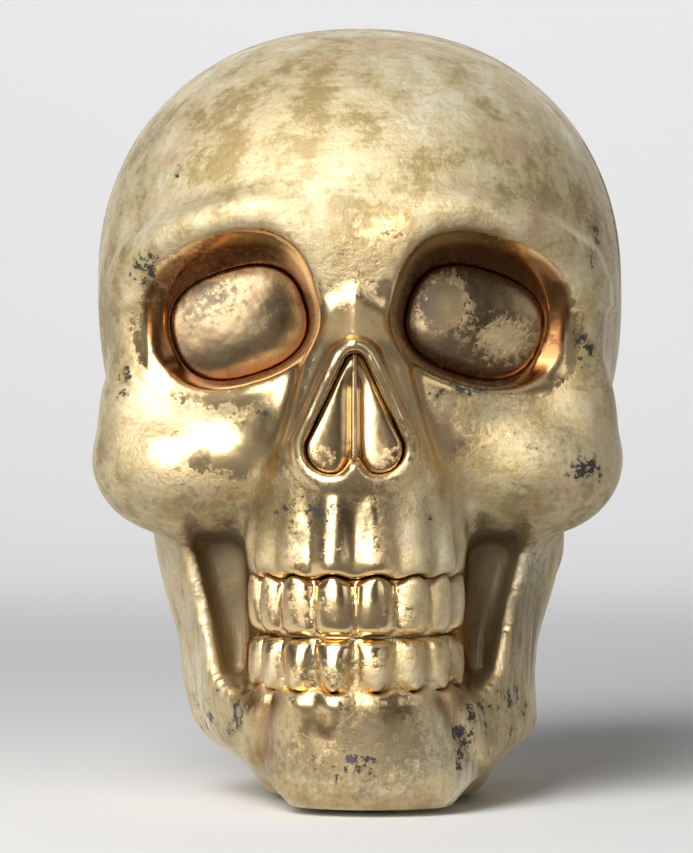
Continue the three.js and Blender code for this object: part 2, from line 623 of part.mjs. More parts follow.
// The nasal roof: a ridge from the brow to the nose's top, with a flat flank out to a crest on each side
const noseTipZ = NOSE_TOP_Z + NOSE_TOP_RADIUS;
const noseLowZ = NOSE_LOBE_Z - NOSE_LOBE_RADIUS;
const flankSlope = (z) => mix(0.42, 0.85, share(noseTipZ - 18, NASION_Z, z));
function ridgeY(z) {
  const bridge = (FOREHEAD_FRONT + 1.5 - NOSE_TIP_Y) / (NASION_Z - noseTipZ);
  return NOSE_TIP_Y + meet((z - noseTipZ) * bridge, (noseTipZ - z) * 0.12, 5);
}

function nasalRoof() {
  const foot = gumTopZ + 12;
  const bridge = [NASION_Z, NASION_Z - 2, NASION_Z - 9, noseTipZ + 3];
  const opening = [noseTipZ - 3, NOSE_TOP_Z - 12, noseLowZ, foot];
  return solid(loft([...bridge, ...opening].map((z) => {
    const bevel = z === NASION_Z ? 2 : 0;
    const sunk = bevel + 5 * share(noseLowZ, foot, z);
    const crest = mix(CREST_FOOT_WIDTH / 2, CREST_TOP_WIDTH / 2, share(noseLowZ, NASION_Z, z)) - bevel;
    const fall = flankSlope(z) * crest;
    const flank = [[0, 0], [crest * 0.12, 0.3], [crest * 0.9, fall * 0.9], [crest, fall + 1.4]];
    const half = [...flank.map(([x, y]) => [x, ridgeY(z) + sunk + y, z]), [crest, SOCKET_FLOOR_Y - 8, z]];
    return [...half, ...half.slice(1).reverse().map(([x, y]) => [-x, y, z])];
  })));
}

// The nose's rolled lip lies on the nasal roof
const lipY = (x, z) => ridgeY(min(z, noseTipZ)) + flankSlope(z) * x * 0.75;

function noseLip() {
  const path = noseRing(lipY, 1.8).filter((_, n) => n % 2 === 0);
  const curve = new THREE.CatmullRomCurve3(path.map((p) => new THREE.Vector3(...p)), true, "centripetal");
  return solid(new THREE.TubeGeometry(curve, 40, NOSE_LIP_RADIUS, 6, true));
}

function noseRecess() {
  return solid(loft([noseRing(NOSE_TIP_Y - 10, -NOSE_MARGIN), noseRing(NOSE_FLOOR_Y, -NOSE_MARGIN)]));
}

// The nose insert: a back plate, the septum blade and a swelling in each nostril
function noseInsert() {
  const back = NOSE_FLOOR_Y - FIT_GAP;
  const edge = -NOSE_MARGIN - FIT_GAP;
  const room = solid(loft([noseRing(NOSE_TIP_Y, edge), noseRing(back, edge)]));
  const plate = solid(loft([noseRing(back - NOSE_PLATE, edge), noseRing(back, edge)]));
  const height = noseTipZ - noseLowZ;
  const middleZ = (noseTipZ + noseLowZ) / 2;
  const blade = new THREE.BoxGeometry(SEPTUM_THICKNESS, SEPTUM_DEPTH, height);
  let insert = plate.add(solid(blade.translate(0, back - SEPTUM_DEPTH / 2, middleZ)).intersect(room));
  for (const side of [-1, 1]) {
    const swelling = new THREE.SphereGeometry(1, 12, 8);
    swelling.scale(NOSE_LOBE_RADIUS * 0.6, NOSE_SWELLING, height * 0.42);
    swelling.rotateY(side * -0.2).translate(side * NOSE_LOBE_X, back, NOSE_LOBE_Z + NOSE_LOBE_RADIUS / 2);
    insert = insert.add(solid(swelling).intersect(room));
  }
  return insert;
}

// A band that follows the tooth arch between two insets, open at the back
function archBand(outset, inset, fromZ, toZ) {
  const shape = new THREE.Shape();
  shape.absellipse(0, ARCH_Y, ARCH_WIDTH / 2 + outset, ARCH_DEPTH + outset, PI, 2 * PI, false);
  shape.absellipse(0, ARCH_Y, ARCH_WIDTH / 2 - inset, ARCH_DEPTH - inset, 2 * PI, PI, true);
  return raise(shape, fromZ, toZ, 12);
}

// One tooth: rounded sections from the gum to the biting edge, turned to face out of the arch
const TOOTH_SECTIONS = [
  { reach: 0, width: 0.8, bulge: 0.84 },
  { reach: 0.4, width: 0.96, bulge: 1 },
  { reach: 0.92, width: 0.96, bulge: 0.8 },
  { reach: 1, width: 0.84, bulge: 0.62 },
];

function tooth(angle, width, gumZ, edgeZ) {
  const [x, y] = archPoint(angle, ARCH_WIDTH / 2, ARCH_DEPTH);
  const out = new THREE.Vector2(sin(angle) / ARCH_WIDTH, -cos(angle) / (2 * ARCH_DEPTH)).normalize();
  const inner = FIT_GAP - TOOTH_DEPTH;
  const sides = 10;
  return solid(loft(TOOTH_SECTIONS.map((section) => {
    const ring = [];
    for (let n = 0; n < sides; n++) {
      const turn = (2 * PI * n) / sides;
      const across = sign(cos(turn)) * pow(abs(cos(turn)), 0.6) * (width / 2 - 0.1) * section.width;
      const half = (TOOTH_DEPTH / 2) * section.bulge;
      const forth = max(inner, inner + half + sign(sin(turn)) * pow(abs(sin(turn)), 0.6) * half) + 0.2;
      const rise = mix(gumZ, edgeZ, section.reach);
      ring.push([x - across * out.y + forth * out.x, y + across * out.x + forth * out.y, rise]);
    }
    return ring;
  })));
}

function toothRow(widths, angles, gumZ, edgeZ) {
  const inset = TOOTH_DEPTH - FIT_GAP;
  let row = archBand(TOOTH_STRIP - inset, inset, min(gumZ, edgeZ), max(gumZ, edgeZ));
  angles.forEach((angle, n) => {
    for (const side of [-1, 1]) row = row.add(tooth(side * angle, widths[n], gumZ, edgeZ));
  });
  return row;
}

const upperTeeth = toothRow(UPPER_TOOTH_WIDTHS, upperAngles, gumTopZ - FIT_GAP, BITE_Z + BITE_GAP / 2);
const lowerTeeth = toothRow(LOWER_TOOTH_WIDTHS, lowerAngles, gumLowZ + FIT_GAP, BITE_Z - BITE_GAP / 2);

// Base outline: a tapered plate with round corners, grown outwards by grow
function baseShape(grow) {
  const front = BASE_FRONT_Y - grow;
  const back = BASE_BACK_Y + grow;
  const r = max(BASE_CORNER + grow, 1);
  const a = BASE_FRONT_WIDTH / 2 + grow;
  const b = BASE_BACK_WIDTH / 2 + grow;
  const lean = Math.atan2(b - a, back - front);
  const shape = new THREE.Shape();
  shape.absarc(a - r, front + r, r, -PI / 2, -lean, false);
  shape.absarc(b - r, back - r, r, -lean, PI / 2, false);
  shape.absarc(r - b, back - r, r, PI / 2, PI + lean, false);
  shape.absarc(r - a, front + r, r, PI + lean, 1.5 * PI, false);
  return shape;
}
const ledgeZ = underside + BASE_THICKNESS + FIT_GAP;
const screwPlaces = [
  [-BASE_FRONT_WIDTH / 2 + 5, BASE_FRONT_Y + 6],
  [BASE_FRONT_WIDTH / 2 - 5, BASE_FRONT_Y + 6],
  [-BASE_BACK_WIDTH / 2 + 6, BASE_BACK_Y - 6],
  [BASE_BACK_WIDTH / 2 - 6, BASE_BACK_Y - 6],
];
const padPlaces = screwPlaces.map(([x, y]) => [x * 0.95, y + (y < 0 ? 14 : -14)]);

// Grids: fine over the face, coarse over the back and coarser in the hollow
const crownZ = CRANIUM_Z + CRANIUM_HEIGHT / 2 + 9;
const halfSpan = max(CRANIUM_WIDTH, CHEEK_WIDTH) / 2;
const nearX = halfSpan + 7.5;
const farX = halfSpan + 13.5;
const rearY = max(OCCIPUT_BACK, CRANIUM_Y + CRANIUM_LENGTH / 2);
const faceX = stations([-nearX, -46, 8], [-46, 46, 5.6], [46, nearX, 8]);
const faceY = stations([NOSE_TIP_Y - 7, -44, 6.4], [-44, SEAM_Y + 32, 11]);
const faceZ = stations([-4, EYE_Z + 26, 5.6], [EYE_Z + 26, crownZ, 12]);
const backX = stations([-farX, farX, 10.6]);
const backY = stations([SEAM_Y - 32, 32, 10], [32, rearY + 9, 14]);
const backZ = stations([-9, CHEEK_Z, 9.5], [CHEEK_Z, crownZ, 14]);
const hollowX = stations([-farX, farX, 16]);
const hollowY = stations([NOSE_TIP_Y - 5, rearY + 15, 16]);
const hollowZ = stations([-9, crownZ, 15]);
const hollow = solid(contour(hollowForm, hollowX, hollowY, hollowZ));

// A stretch of the skull with the hollow, the base opening and the screw bosses worked in
function hollowed(stretch, screws) {
  let body = stretch.subtract(hollow).subtract(raise(baseShape(-BASE_LEDGE), underside - 1, 30));
  for (const [x, y] of screws) body = body.add(post(x, y, ledgeZ, ledgeZ + BOSS_HEIGHT, BOSS_RADIUS, 10));
  body = body.subtract(raise(baseShape(FIT_GAP), underside - 1, ledgeZ));
  for (const [x, y] of screws) {
    body = body.subtract(post(x, y, ledgeZ - 1, underside + SCREW_LENGTH + 1, SCREW_RADIUS + FIT_GAP, 8));
  }
  return body;
}

// The lap at the seam: the braincase, inset, from one plane to another above the cheekbones
function lap(inset, fromY, toY) {
  const spare = 15;
  const ends = (y, z) => max(fromY - spare - y, y - toY - spare, CHEEK_Z - spare - z);
  const band = (x, y, z) => max(braincase(abs(x), y, z, inset), ends(y, z));
  const ring = contour(band, backX, stations([fromY - 2 * spare, toY + 2 * spare, 12]), backZ);
  return solid(ring).intersect(slab(fromY, toY, CHEEK_Z));
}

// Face shell: the front of the skull with its nose lip, its recesses and the rebate for the tongue
const faceBack = SEAM_Y - SEAM_GAP / 2;
const lapInset = WALL - TONGUE_WALL;
const frontForm = (x, y, z) => max(skullForm(x, y, z), y - SEAM_Y - 22);
const front = solid(contour(frontForm, faceX, faceY, faceZ)).intersect(slab(2 * NOSE_TIP_Y, faceBack));
const face = hollowed(front.add(nasalRoof()).add(noseLip()), screwPlaces.filter(([, y]) => y < SEAM_Y))
  .subtract(eyeSocket(-1))
  .subtract(eyeSocket(1))
  .subtract(noseRecess())
  .subtract(archBand(MOUTH_OUTSET, TOOTH_DEPTH, gumLowZ, gumTopZ))
  .subtract(lap(lapInset, faceBack - TONGUE_LENGTH - SEAM_GAP, faceBack + 1));

// Cranium shell: the back of the skull with its tongue
const craniumFront = SEAM_Y + SEAM_GAP / 2;
const backForm = (x, y, z) => max(skullForm(x, y, z), SEAM_Y - 22 - y);
const back = solid(contour(backForm, backX, backY, backZ)).intersect(slab(craniumFront, 2 * rearY));
const tongue = lap(lapInset + FIT_GAP, faceBack - TONGUE_LENGTH, craniumFront + 3);
const cranium = hollowed(back.add(tongue), screwPlaces.filter(([, y]) => y > SEAM_Y));

// Base plate and its screws
let plate = raise(baseShape(0), underside, underside + BASE_THICKNESS);
const headSeat = underside + SCREW_HEAD_HEIGHT + FIT_GAP;
for (const [x, y] of screwPlaces) {
  plate = plate
    .subtract(post(x, y, underside - 1, ledgeZ + 1, SCREW_RADIUS + FIT_GAP, 8))
    .subtract(post(x, y, underside - 1, headSeat + FIT_GAP, SCREW_HEAD_RADIUS + FIT_GAP, 12));
}
function screw(x, y) {
  const tip = underside + SCREW_LENGTH;
  const low = headSeat - SCREW_HEAD_HEIGHT;
  const profile = [
    [0, low],
    [SCREW_HEAD_RADIUS - 0.4, low],
    [SCREW_HEAD_RADIUS, low + 0.4],
    [SCREW_HEAD_RADIUS, headSeat],
    [SCREW_RADIUS, headSeat],
    [SCREW_RADIUS, tip - 2],
    [0.4, tip],
    [0, tip],
  ];
  const points = profile.map(([r, z]) => new THREE.Vector2(r, z));
  const turned = new THREE.LatheGeometry(points, 12).rotateX(PI / 2);
  const slot = 0.9;
  const drive = solid(new THREE.BoxGeometry(SCREW_HEAD_RADIUS * 1.4, slot, 1.6).translate(x, y, low));
  return solid(turned.translate(x, y, 0)).subtract(drive);
}

// Named pieces, moved so that the origin is under the middle of the skull's box
const pieces = {
  face_shell: [face, goldLeaf],
  cranium_shell: [cranium, goldLeaf],
  left_eye_disc: [eyeDisc(1), polishedLeaf],
  right_eye_disc: [eyeDisc(-1), polishedLeaf],
  nose_insert: [noseInsert(), polishedLeaf],
  upper_teeth: [upperTeeth, polishedLeaf],
  lower_teeth: [lowerTeeth, polishedLeaf],
  base_plate: [plate, blackPlastic],
};
screwPlaces.forEach(([x, y], n) => (pieces[`base_screw_${n + 1}`] = [screw(x, y), zincSteel]));
const pad = (x, y) => post(x, y, 0, PAD_THICKNESS, PAD_RADIUS, 18);
padPlaces.forEach(([x, y], n) => (pieces[`foot_pad_${n + 1}`] = [pad(x, y), greyFelt]));

const group = new THREE.Group();
group.name = "gold_skull_ornament";
for (const [name, [body, material]] of Object.entries(pieces)) {
  const mesh = body.getMesh();
  const geometry = new THREE.BufferGeometry()
    .setAttribute("position", new THREE.Float32BufferAttribute(mesh.vertProperties, 3))
    .setIndex(new THREE.Uint32BufferAttribute(mesh.triVerts, 1));
  const piece = new THREE.Mesh(geometry, material);
  piece.name = name;
  group.add(piece);
}
const middle = new THREE.Box3().setFromObject(group).getCenter(new THREE.Vector3());
for (const piece of group.children) piece.geometry.translate(-middle.x, -middle.y, 0);

export default group;
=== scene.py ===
"""A life-size skull ornament in worn gold leaf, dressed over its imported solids.

Sizes are in millimetres, in the skull's own frame: x across, y towards the back, z up.
Meshes are in metres.
"""

import logging
import math
from collections.abc import Callable, Iterator
from contextlib import contextmanager
from dataclasses import dataclass, field
from enum import Enum

import bmesh
import bpy
import numpy as np
from bmesh.types import BMesh, BMFace, BMVert
from bpy.types import Material, Mesh, NodeSocket, Object
from mathutils import Matrix, Vector

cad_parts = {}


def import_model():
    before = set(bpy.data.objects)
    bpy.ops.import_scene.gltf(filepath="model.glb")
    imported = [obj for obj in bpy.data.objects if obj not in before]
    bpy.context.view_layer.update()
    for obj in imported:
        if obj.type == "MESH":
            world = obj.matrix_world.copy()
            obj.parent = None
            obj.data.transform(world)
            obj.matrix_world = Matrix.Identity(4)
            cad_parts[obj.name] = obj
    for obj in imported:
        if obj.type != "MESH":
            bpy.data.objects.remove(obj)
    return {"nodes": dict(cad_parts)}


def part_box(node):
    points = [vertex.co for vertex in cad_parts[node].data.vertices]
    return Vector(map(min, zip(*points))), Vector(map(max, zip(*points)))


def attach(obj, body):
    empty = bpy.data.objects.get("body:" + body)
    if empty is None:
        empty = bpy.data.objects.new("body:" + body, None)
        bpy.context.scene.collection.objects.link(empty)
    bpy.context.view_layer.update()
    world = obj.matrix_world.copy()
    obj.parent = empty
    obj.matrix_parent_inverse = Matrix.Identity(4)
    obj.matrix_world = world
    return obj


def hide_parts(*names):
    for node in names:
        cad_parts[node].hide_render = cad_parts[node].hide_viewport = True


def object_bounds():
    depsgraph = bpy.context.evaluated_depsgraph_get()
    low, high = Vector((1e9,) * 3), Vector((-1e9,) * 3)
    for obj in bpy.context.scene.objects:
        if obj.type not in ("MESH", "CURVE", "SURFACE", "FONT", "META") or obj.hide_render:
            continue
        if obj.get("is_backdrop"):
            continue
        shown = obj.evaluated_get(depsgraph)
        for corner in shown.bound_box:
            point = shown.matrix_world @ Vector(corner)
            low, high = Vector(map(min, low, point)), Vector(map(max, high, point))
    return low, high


LOG = logging.getLogger("skull")
MM = 0.001
TINY = 1e-6
LEAST_SLOPE = 0.12
LONGEST_STEP = 0.8
NOISE_MIDDLE = 0.5
BODY = "root"
Array = np.ndarray
Colour = tuple[float, float, float]
Point = tuple[float, float, float]


class Slot(Enum):
    """The record's material slots."""

    GOLD_LEAF = "gold_leaf"
    POLISHED_LEAF = "polished_leaf"
    BASE_PLASTIC = "base_plastic"


class Layer(Enum):
    """Point attributes that the gold leaf reads."""

    FROST = "frost"
    WEAR = "wear"
    # Painted shade: how far the leaf darkens towards its deep colour in recesses.
    RECESS_SHADE = "recess_shade"
    STREAK = "streak"
    # Patina together with painted shade under the cheeks, in the jaw pockets and on the side away from the
    # lamps.
    PATINA_AND_SHADE = "patina_and_shade"


class Side(Enum):
    """The skull's own left and right."""

    LEFT = 1
    RIGHT = -1


def mix(low: float | Array, high: float | Array, part: float | Array) -> float | Array:
    """Return the value that lies a part of the way from low to high."""
    return low + (high - low) * part


def share(low: float, high: float, value: Array) -> Array:
    """Return how far value is from low to high, held between 0 and 1."""
    return np.clip((value - low) / (high - low), 0.0, 1.0)


def ease(low: float, high: float, value: Array) -> Array:
    """Return share with soft ends."""
    part = share(low, high, value)
    return part * part * (3 - 2 * part)


@dataclass(frozen=True)
class Fade:
    """A soft change from 0 at one place to 1 at another."""

    start: float
    end: float

    def at(self, value: Array) -> Array:
        """Return the change at a value."""
        return ease(self.start, self.end, value)


def join(a: Array, b: Array, fillet: float) -> Array:
    """Return the distance to two forms joined with a fillet."""
    return np.minimum(a, b) - np.maximum(fillet - np.abs(a - b), 0) ** 2 / (4 * fillet)


def meet(a: Array, b: Array, fillet: float) -> Array:
    """Return the distance to what two forms share, with a rounded edge."""
    return -join(-a, -b, fillet)


def ball(p: Array, centre: Point, radii: Point, fullness: float = 2.0) -> Array:
    """Return the distance to an ellipsoid.

    Args:
        p: Points, one row for each of x, y and z.
        centre: The middle of the ellipsoid.
        radii: Its half sizes.
        fullness: 2 for an ellipsoid, more for a boxier form.

    Returns:
        The distance, negative inside.
    """
    u, v, w = (np.abs(p[n] - centre[n]) / radii[n] for n in range(3))
    k = (u**fullness + v**fullness + w**fullness) ** (1 / fullness)
    n = fullness - 1
    slope = np.sqrt((u**n / radii[0]) ** 2 + (v**n / radii[1]) ** 2 + (w**n / radii[2]) ** 2)
    return (k - 1) * k**n / np.maximum(slope, TINY)


def bar(p: Array, start: Point, end: Point, start_radius: float, end_radius: float) -> Array:
    """Return the distance to a round bar that tapers between two points.

    Args:
        p: Points, one row for each coordinate.
        start: One end.
        end: The other end.
        start_radius: The radius at start.
        end_radius: The radius at end.

    Returns:
        The distance, negative inside.
    """
    run = [b - a for a, b in zip(start, end)]
    away = [p[n] - start[n] for n in range(len(run))]
    part = np.clip(sum(a * b for a, b in zip(away, run)) / sum(b * b for b in run), 0, 1)
    reach = np.sqrt(sum((a - part * b) ** 2 for a, b in zip(away, run)))
    return reach - mix(start_radius, end_radius, part)


def block(p: Array, centre: Point, half: Point, rounding: float) -> Array:
    """Return the distance to a box with rounded edges.

    Args:
        p: Points, one row for each of x, y and z.
        centre: The middle of the box.
        half: Its half sizes.
        rounding: The radius of its edges.

    Returns:
        The distance, negative inside.
    """
    q = [np.abs(p[n] - centre[n]) - half[n] + rounding for n in range(3)]
    outside = np.sqrt(sum(np.maximum(v, 0) ** 2 for v in q))
    return outside + np.minimum(np.maximum.reduce(q), 0) - rounding


@dataclass(frozen=True)
class Bone:
    """A bone that swells out of one side of the skull."""

    middle: Point
    half: Point
    fillet: float = 8

    def swell(self, p: Array, d: Array) -> Array:
        """Return the distance d joined by the bone."""
        return join(d, ball(p, self.middle, self.half), self.fillet)


@dataclass(frozen=True)
class Strut:
    """A tapered bar of bone."""

    start: Point
    end: Point
    start_radius: float
    end_radius: float
    fillet: float = 8

    def swell(self, p: Array, d: Array) -> Array:
        """Return the distance d joined by the bar."""
        return join(d, bar(p, self.start, self.end, self.start_radius, self.end_radius), self.fillet)


@dataclass(frozen=True)
class Root:
    """A tooth's root, which shows as a flute over the gum."""

    inset: float
    radius: float
    tip_radius: float
    start: float
    length: float
    taper: float
    fillet: float = 1.5
    lean: float = 1


@dataclass
class Braincase:
    """The dome of the skull, its forehead and the back of the head."""

    width: float = 153
    length: float = 170
    height: float = 158
    y: float = 8
    z: float = 142
    fullness: float = 2.25
    forehead: Bone = Bone((0, -27, 155), (68, 57, 56), 15)
    occiput: Bone = Bone((0, 40, 103), (56, 48, 46), 15)

    def distance(self, p: Array) -> Array:
        """Return the distance to the braincase."""
        d = ball(p, (0, self.y, self.z), (self.width / 2, self.length / 2, self.height / 2), self.fullness)
        return self.occiput.swell(p, self.forehead.swell(p, d))


@dataclass
class EyeSocketForm:
    """The outline of an eye opening, its rim and the socket behind it."""

    spacing: float = 69.8
    z: float = 136.1
    long: float = 48.5
    short: float = 40.4
    droop: float = 0.31
    roundness: float = 2.5
    floor_y: float = -56
    mouth_y: float = -78
    seat: float = 3.4
    draft: float = 5.2
    shift_in: float = 2.3
    shift_down: float = 2.3
    brow_radius: float = 5.4
    brow_y: float = -78.5
    rim_radius: float = 3.4
    rim_y: float = -71.5
    rim_outset: float = 2.6
    brow_outset: float = 5
    rim_sweep: float = 0.0105
    rim_sweep_start: float = 20
    rim_fillet: float = 4.5
    mouth_flare: float = 0.4

    @property
    def x(self) -> float:
        """Return how far the opening's middle is from the middle line."""
        return self.spacing / 2

    def outline(self, x: Array, z: Array, grow: float | Array = 0.0) -> Array:
        """Return the front-view distance to the opening.

        Args:
            x: Distance from the middle line.
            z: Height.
            grow: How far the outline is moved outwards.

        Returns:
            The distance, negative inside.
        """
        u, v = x - self.x, z - self.z
        c, s = math.cos(self.droop), math.sin(self.droop)
        p = np.abs(u * c - v * s) / (self.long / 2 + grow)
        q = np.abs(u * s + v * c) / (self.short / 2 + grow)
        n = self.roundness
        return ((p**n + q**n) ** (1 / n) - 1) * (self.short / 2 + grow)

    def rim(self, p: Array) -> Array:
        """Return the distance to the rolled rim, thicker at the brow.

        Args:
            p: Points, one row for each coordinate, with x from the middle line.

        Returns:
            The distance, negative inside.
        """
        rise = ease(self.z - self.short / 2, self.z + self.long / 2, p[2])
        aside = np.maximum(0, p[0] - self.rim_sweep_start)
        rim_y = mix(self.rim_y, self.brow_y, rise) + self.rim_sweep * aside**2
        outset = mix(self.rim_outset, self.brow_outset, rise)
        away = np.hypot(self.outline(p[0], p[2]) - outset, p[1] - rim_y)
        return away - mix(self.rim_radius, self.brow_radius, rise)

    def hollow(self, p: Array) -> Array:
        """Return the distance to the space of the socket.

        Args:
            p: Points, one row for each coordinate, with x from the middle line.

        Returns:
            The distance, negative inside.
        """
        deep = share(self.mouth_y, self.floor_y - self.seat, p[1])
        grow = mix(self.mouth_flare, -self.draft, deep)
        wall = self.outline(p[0] + self.shift_in * deep, p[2] + self.shift_down * deep, grow)
        return np.maximum(wall, p[1] - self.floor_y)


@dataclass
class NoseForm:
    """The nasal roof, and the nose opening with its lip."""

    nasion_z: float = 145.5
    top_z: float = 121.5
    top_radius: float = 3.6
    lobe_z: float = 99
    lobe_x: float = 6.3
    lobe_radius: float = 7.2
    tip_y: float = -97
    floor_y: float = -82
    lip_radius: float = 1.9
    spine_z: float = 97.5
    spine_slope: float = 0.62
    lip_outset: float = 1.8
    bridge_y: float = -82.5
    crest_top: float = 9
    crest_foot: float = 21.5
    foot_z: float = 76
    foot_sunk: float = 5
    ridge_fall: float = 0.12
    ridge_fillet: float = 5
    ridge_round: float = 1.2
    flank_low: float = 0.42
    flank_high: float = 0.85
    flank_drop: float = 18
    roof_back: float = -62
    nasion_fillet: float = 2.5
    foot_fillet: float = 8
    crest_fillet: float = 3
    spine_fillet: float = 1.5
    lip_slope: float = 0.75
    edge_inset: float = 0.4

    @property
    def tip_z(self) -> float:
        """Return the height of the opening's top."""
        return self.top_z + self.top_radius

    @property
    def low_z(self) -> float:
        """Return the height of the opening's foot."""
        return self.lobe_z - self.lobe_radius

    def outline(self, x: Array, z: Array) -> Array:
        """Return the front-view distance to the opening.

        Args:
            x: Distance from the middle line.
            z: Height.

        Returns:
            The distance, negative inside.
        """
        start, end = (self.lobe_x, self.lobe_z), (0.0, self.top_z)
        lobes = bar(np.array([x, z]), start, end, self.lobe_radius, self.top_radius)
        spine = (self.spine_slope * (self.spine_z - z) - x) / math.hypot(1, self.spine_slope)
        return meet(lobes, spine, self.spine_fillet)

    def ridge_y(self, z: Array) -> Array:
        """Return where the ridge of the nasal roof lies at a height.

        Args:
            z: Height.

        Returns:
            The ridge's place from front to back.
        """
        bridge = (self.bridge_y - self.tip_y) / (self.nasion_z - self.tip_z)
        falling = (self.tip_z - z) * self.ridge_fall
        return self.tip_y + meet((z - self.tip_z) * bridge, falling, self.ridge_fillet)

    def slope(self, z: Array) -> Array:
        """Return how steeply the roof's flank falls back at a height."""
        rise = share(self.tip_z - self.flank_drop, self.nasion_z, z)
        return mix(self.flank_low, self.flank_high, rise)

    def crest(self, z: Array) -> Array:
        """Return how far the crest beside the flank is from the middle line."""
        return mix(self.crest_foot, self.crest_top, share(self.low_z, self.nasion_z, z))

    def roof(self, p: Array) -> Array:
        """Return the distance to the nasal roof.

        Args:
            p: Points, one row for each coordinate, with x from the middle line.

        Returns:
            The distance, negative inside.
        """
        x, y, z = p
        slope = self.slope(z)
        sunk = self.foot_sunk * share(self.low_z, self.foot_z, z)
        flank = slope * np.sqrt(x**2 + self.ridge_round)
        d = (self.ridge_y(z) + sunk + flank - y) / np.sqrt(1 + slope**2)
        d = meet(d, z - self.nasion_z, self.nasion_fillet)
        d = meet(d, self.foot_z - z, self.foot_fillet)
        d = meet(d, x - self.crest(z), self.crest_fillet)
        return np.maximum(d, y - self.roof_back)

    def lip(self, p: Array) -> Array:
        """Return the distance to the opening's rolled lip.

        Args:
            p: Points, one row for each coordinate, with x from the middle line.

        Returns:
            The distance, negative inside.
        """
        x, y, z = p
        lip_y = self.ridge_y(np.minimum(z, self.tip_z)) + self.slope(z) * x * self.lip_slope
        return np.hypot(self.outline(x, z) - self.lip_outset, y - lip_y) - self.lip_radius

    def hollow(self, p: Array) -> Array:
        """Return the distance to the space behind the opening."""
        return np.maximum(self.outline(p[0], p[2]) + self.edge_inset, p[1] - self.floor_y)


@dataclass
class ToothArch:
    """The curve that the teeth stand on, and where each tooth is along it."""

    width: float = 61
    depth: float = 36.5
    y: float = -56
    bite_z: float = 48.3
    bite_gap: float = 0.6
    upper_height: float = 17.0
    lower_height: float = 14.8
    tooth_depth: float = 5
    fit_gap: float = 0.3
    upper_scallop: float = 2.8
    lower_scallop: float = 3.0
    upper_widths: tuple[float, ...] = (12.4, 12.2, 10.6, 10.4)
    lower_widths: tuple[float, ...] = (12.2, 11.6, 10.8, 10.4)
    arc: float = 1.6
    arc_steps: int = 801
    least_depth: float = 0.01

    @property
    def gum_top_z(self) -> float:
        """Return the height of the upper gum."""
        return self.bite_z + self.bite_gap / 2 + self.upper_height

    @property
    def gum_low_z(self) -> float:
        """Return the height of the lower gum."""
        return self.bite_z - self.bite_gap / 2 - self.lower_height

    def distance(self, x: Array, y: Array, outset: float = 0.0, forward: float | None = None) -> Array:
        """Return the plan-view distance to the arch.

        Args:
            x: Distance from the middle line.
            y: Place from front to back.
            outset: How far the arch is moved outwards.
            forward: How far its front is moved, where that differs.

        Returns:
            The distance, negative inside.
        """
        half = self.width / 2 + outset
        deep = self.depth + (outset if forward is None else forward)
        return (np.hypot(x / half, np.maximum(0, self.y - y) / deep) - 1) * half

    def point(self, angle: float, outset: float, forward: float) -> tuple[float, float]:
        """Return the arch's plan point at an angle from the front."""
        half, deep = self.width / 2 + outset, self.depth + forward
        return half * math.sin(angle), self.y - deep * math.cos(angle)

    def edges(self, widths: tuple[float, ...]) -> list[float]:
        """Return the angles where one side's teeth begin and end.

        Args:
            widths: The teeth's widths from the middle line.

        Returns:
            One more angle than there are teeth.
        """
        turns = np.linspace(0, self.arc, self.arc_steps)
        steps = np.hypot(self.width / 2 * np.cos(turns), self.depth * np.sin(turns)) * (turns[1] - turns[0])
        reach = np.concatenate([[0], np.cumsum(steps)[:-1]])
        return [float(np.interp(v, reach, turns)) for v in np.concatenate([[0], np.cumsum(widths)])]

    def middles(self, widths: tuple[float, ...]) -> list[float]:
        """Return the angles of one side's tooth middles."""
        edges = self.edges(widths)
        return [(a + b) / 2 for a, b in zip(edges, edges[1:])]

    def wave(self, x: Array, y: Array, widths: tuple[float, ...]) -> Array:
        """Return 1 at the middle of each tooth, falling to 0 between the teeth.

        Args:
            x: Distance from the middle line.
            y: Place from front to back.
            widths: The teeth's widths from the middle line.

        Returns:
            The height of the scallop.
        """
        angle = np.arctan2(x / self.width * 2, np.maximum(self.y - y, self.least_depth) / self.depth)
        place = np.interp(angle, self.edges(widths), range(len(widths) + 1))
        return 1 - (2 * (place - np.floor(np.minimum(place, len(widths) - TINY))) - 1) ** 2


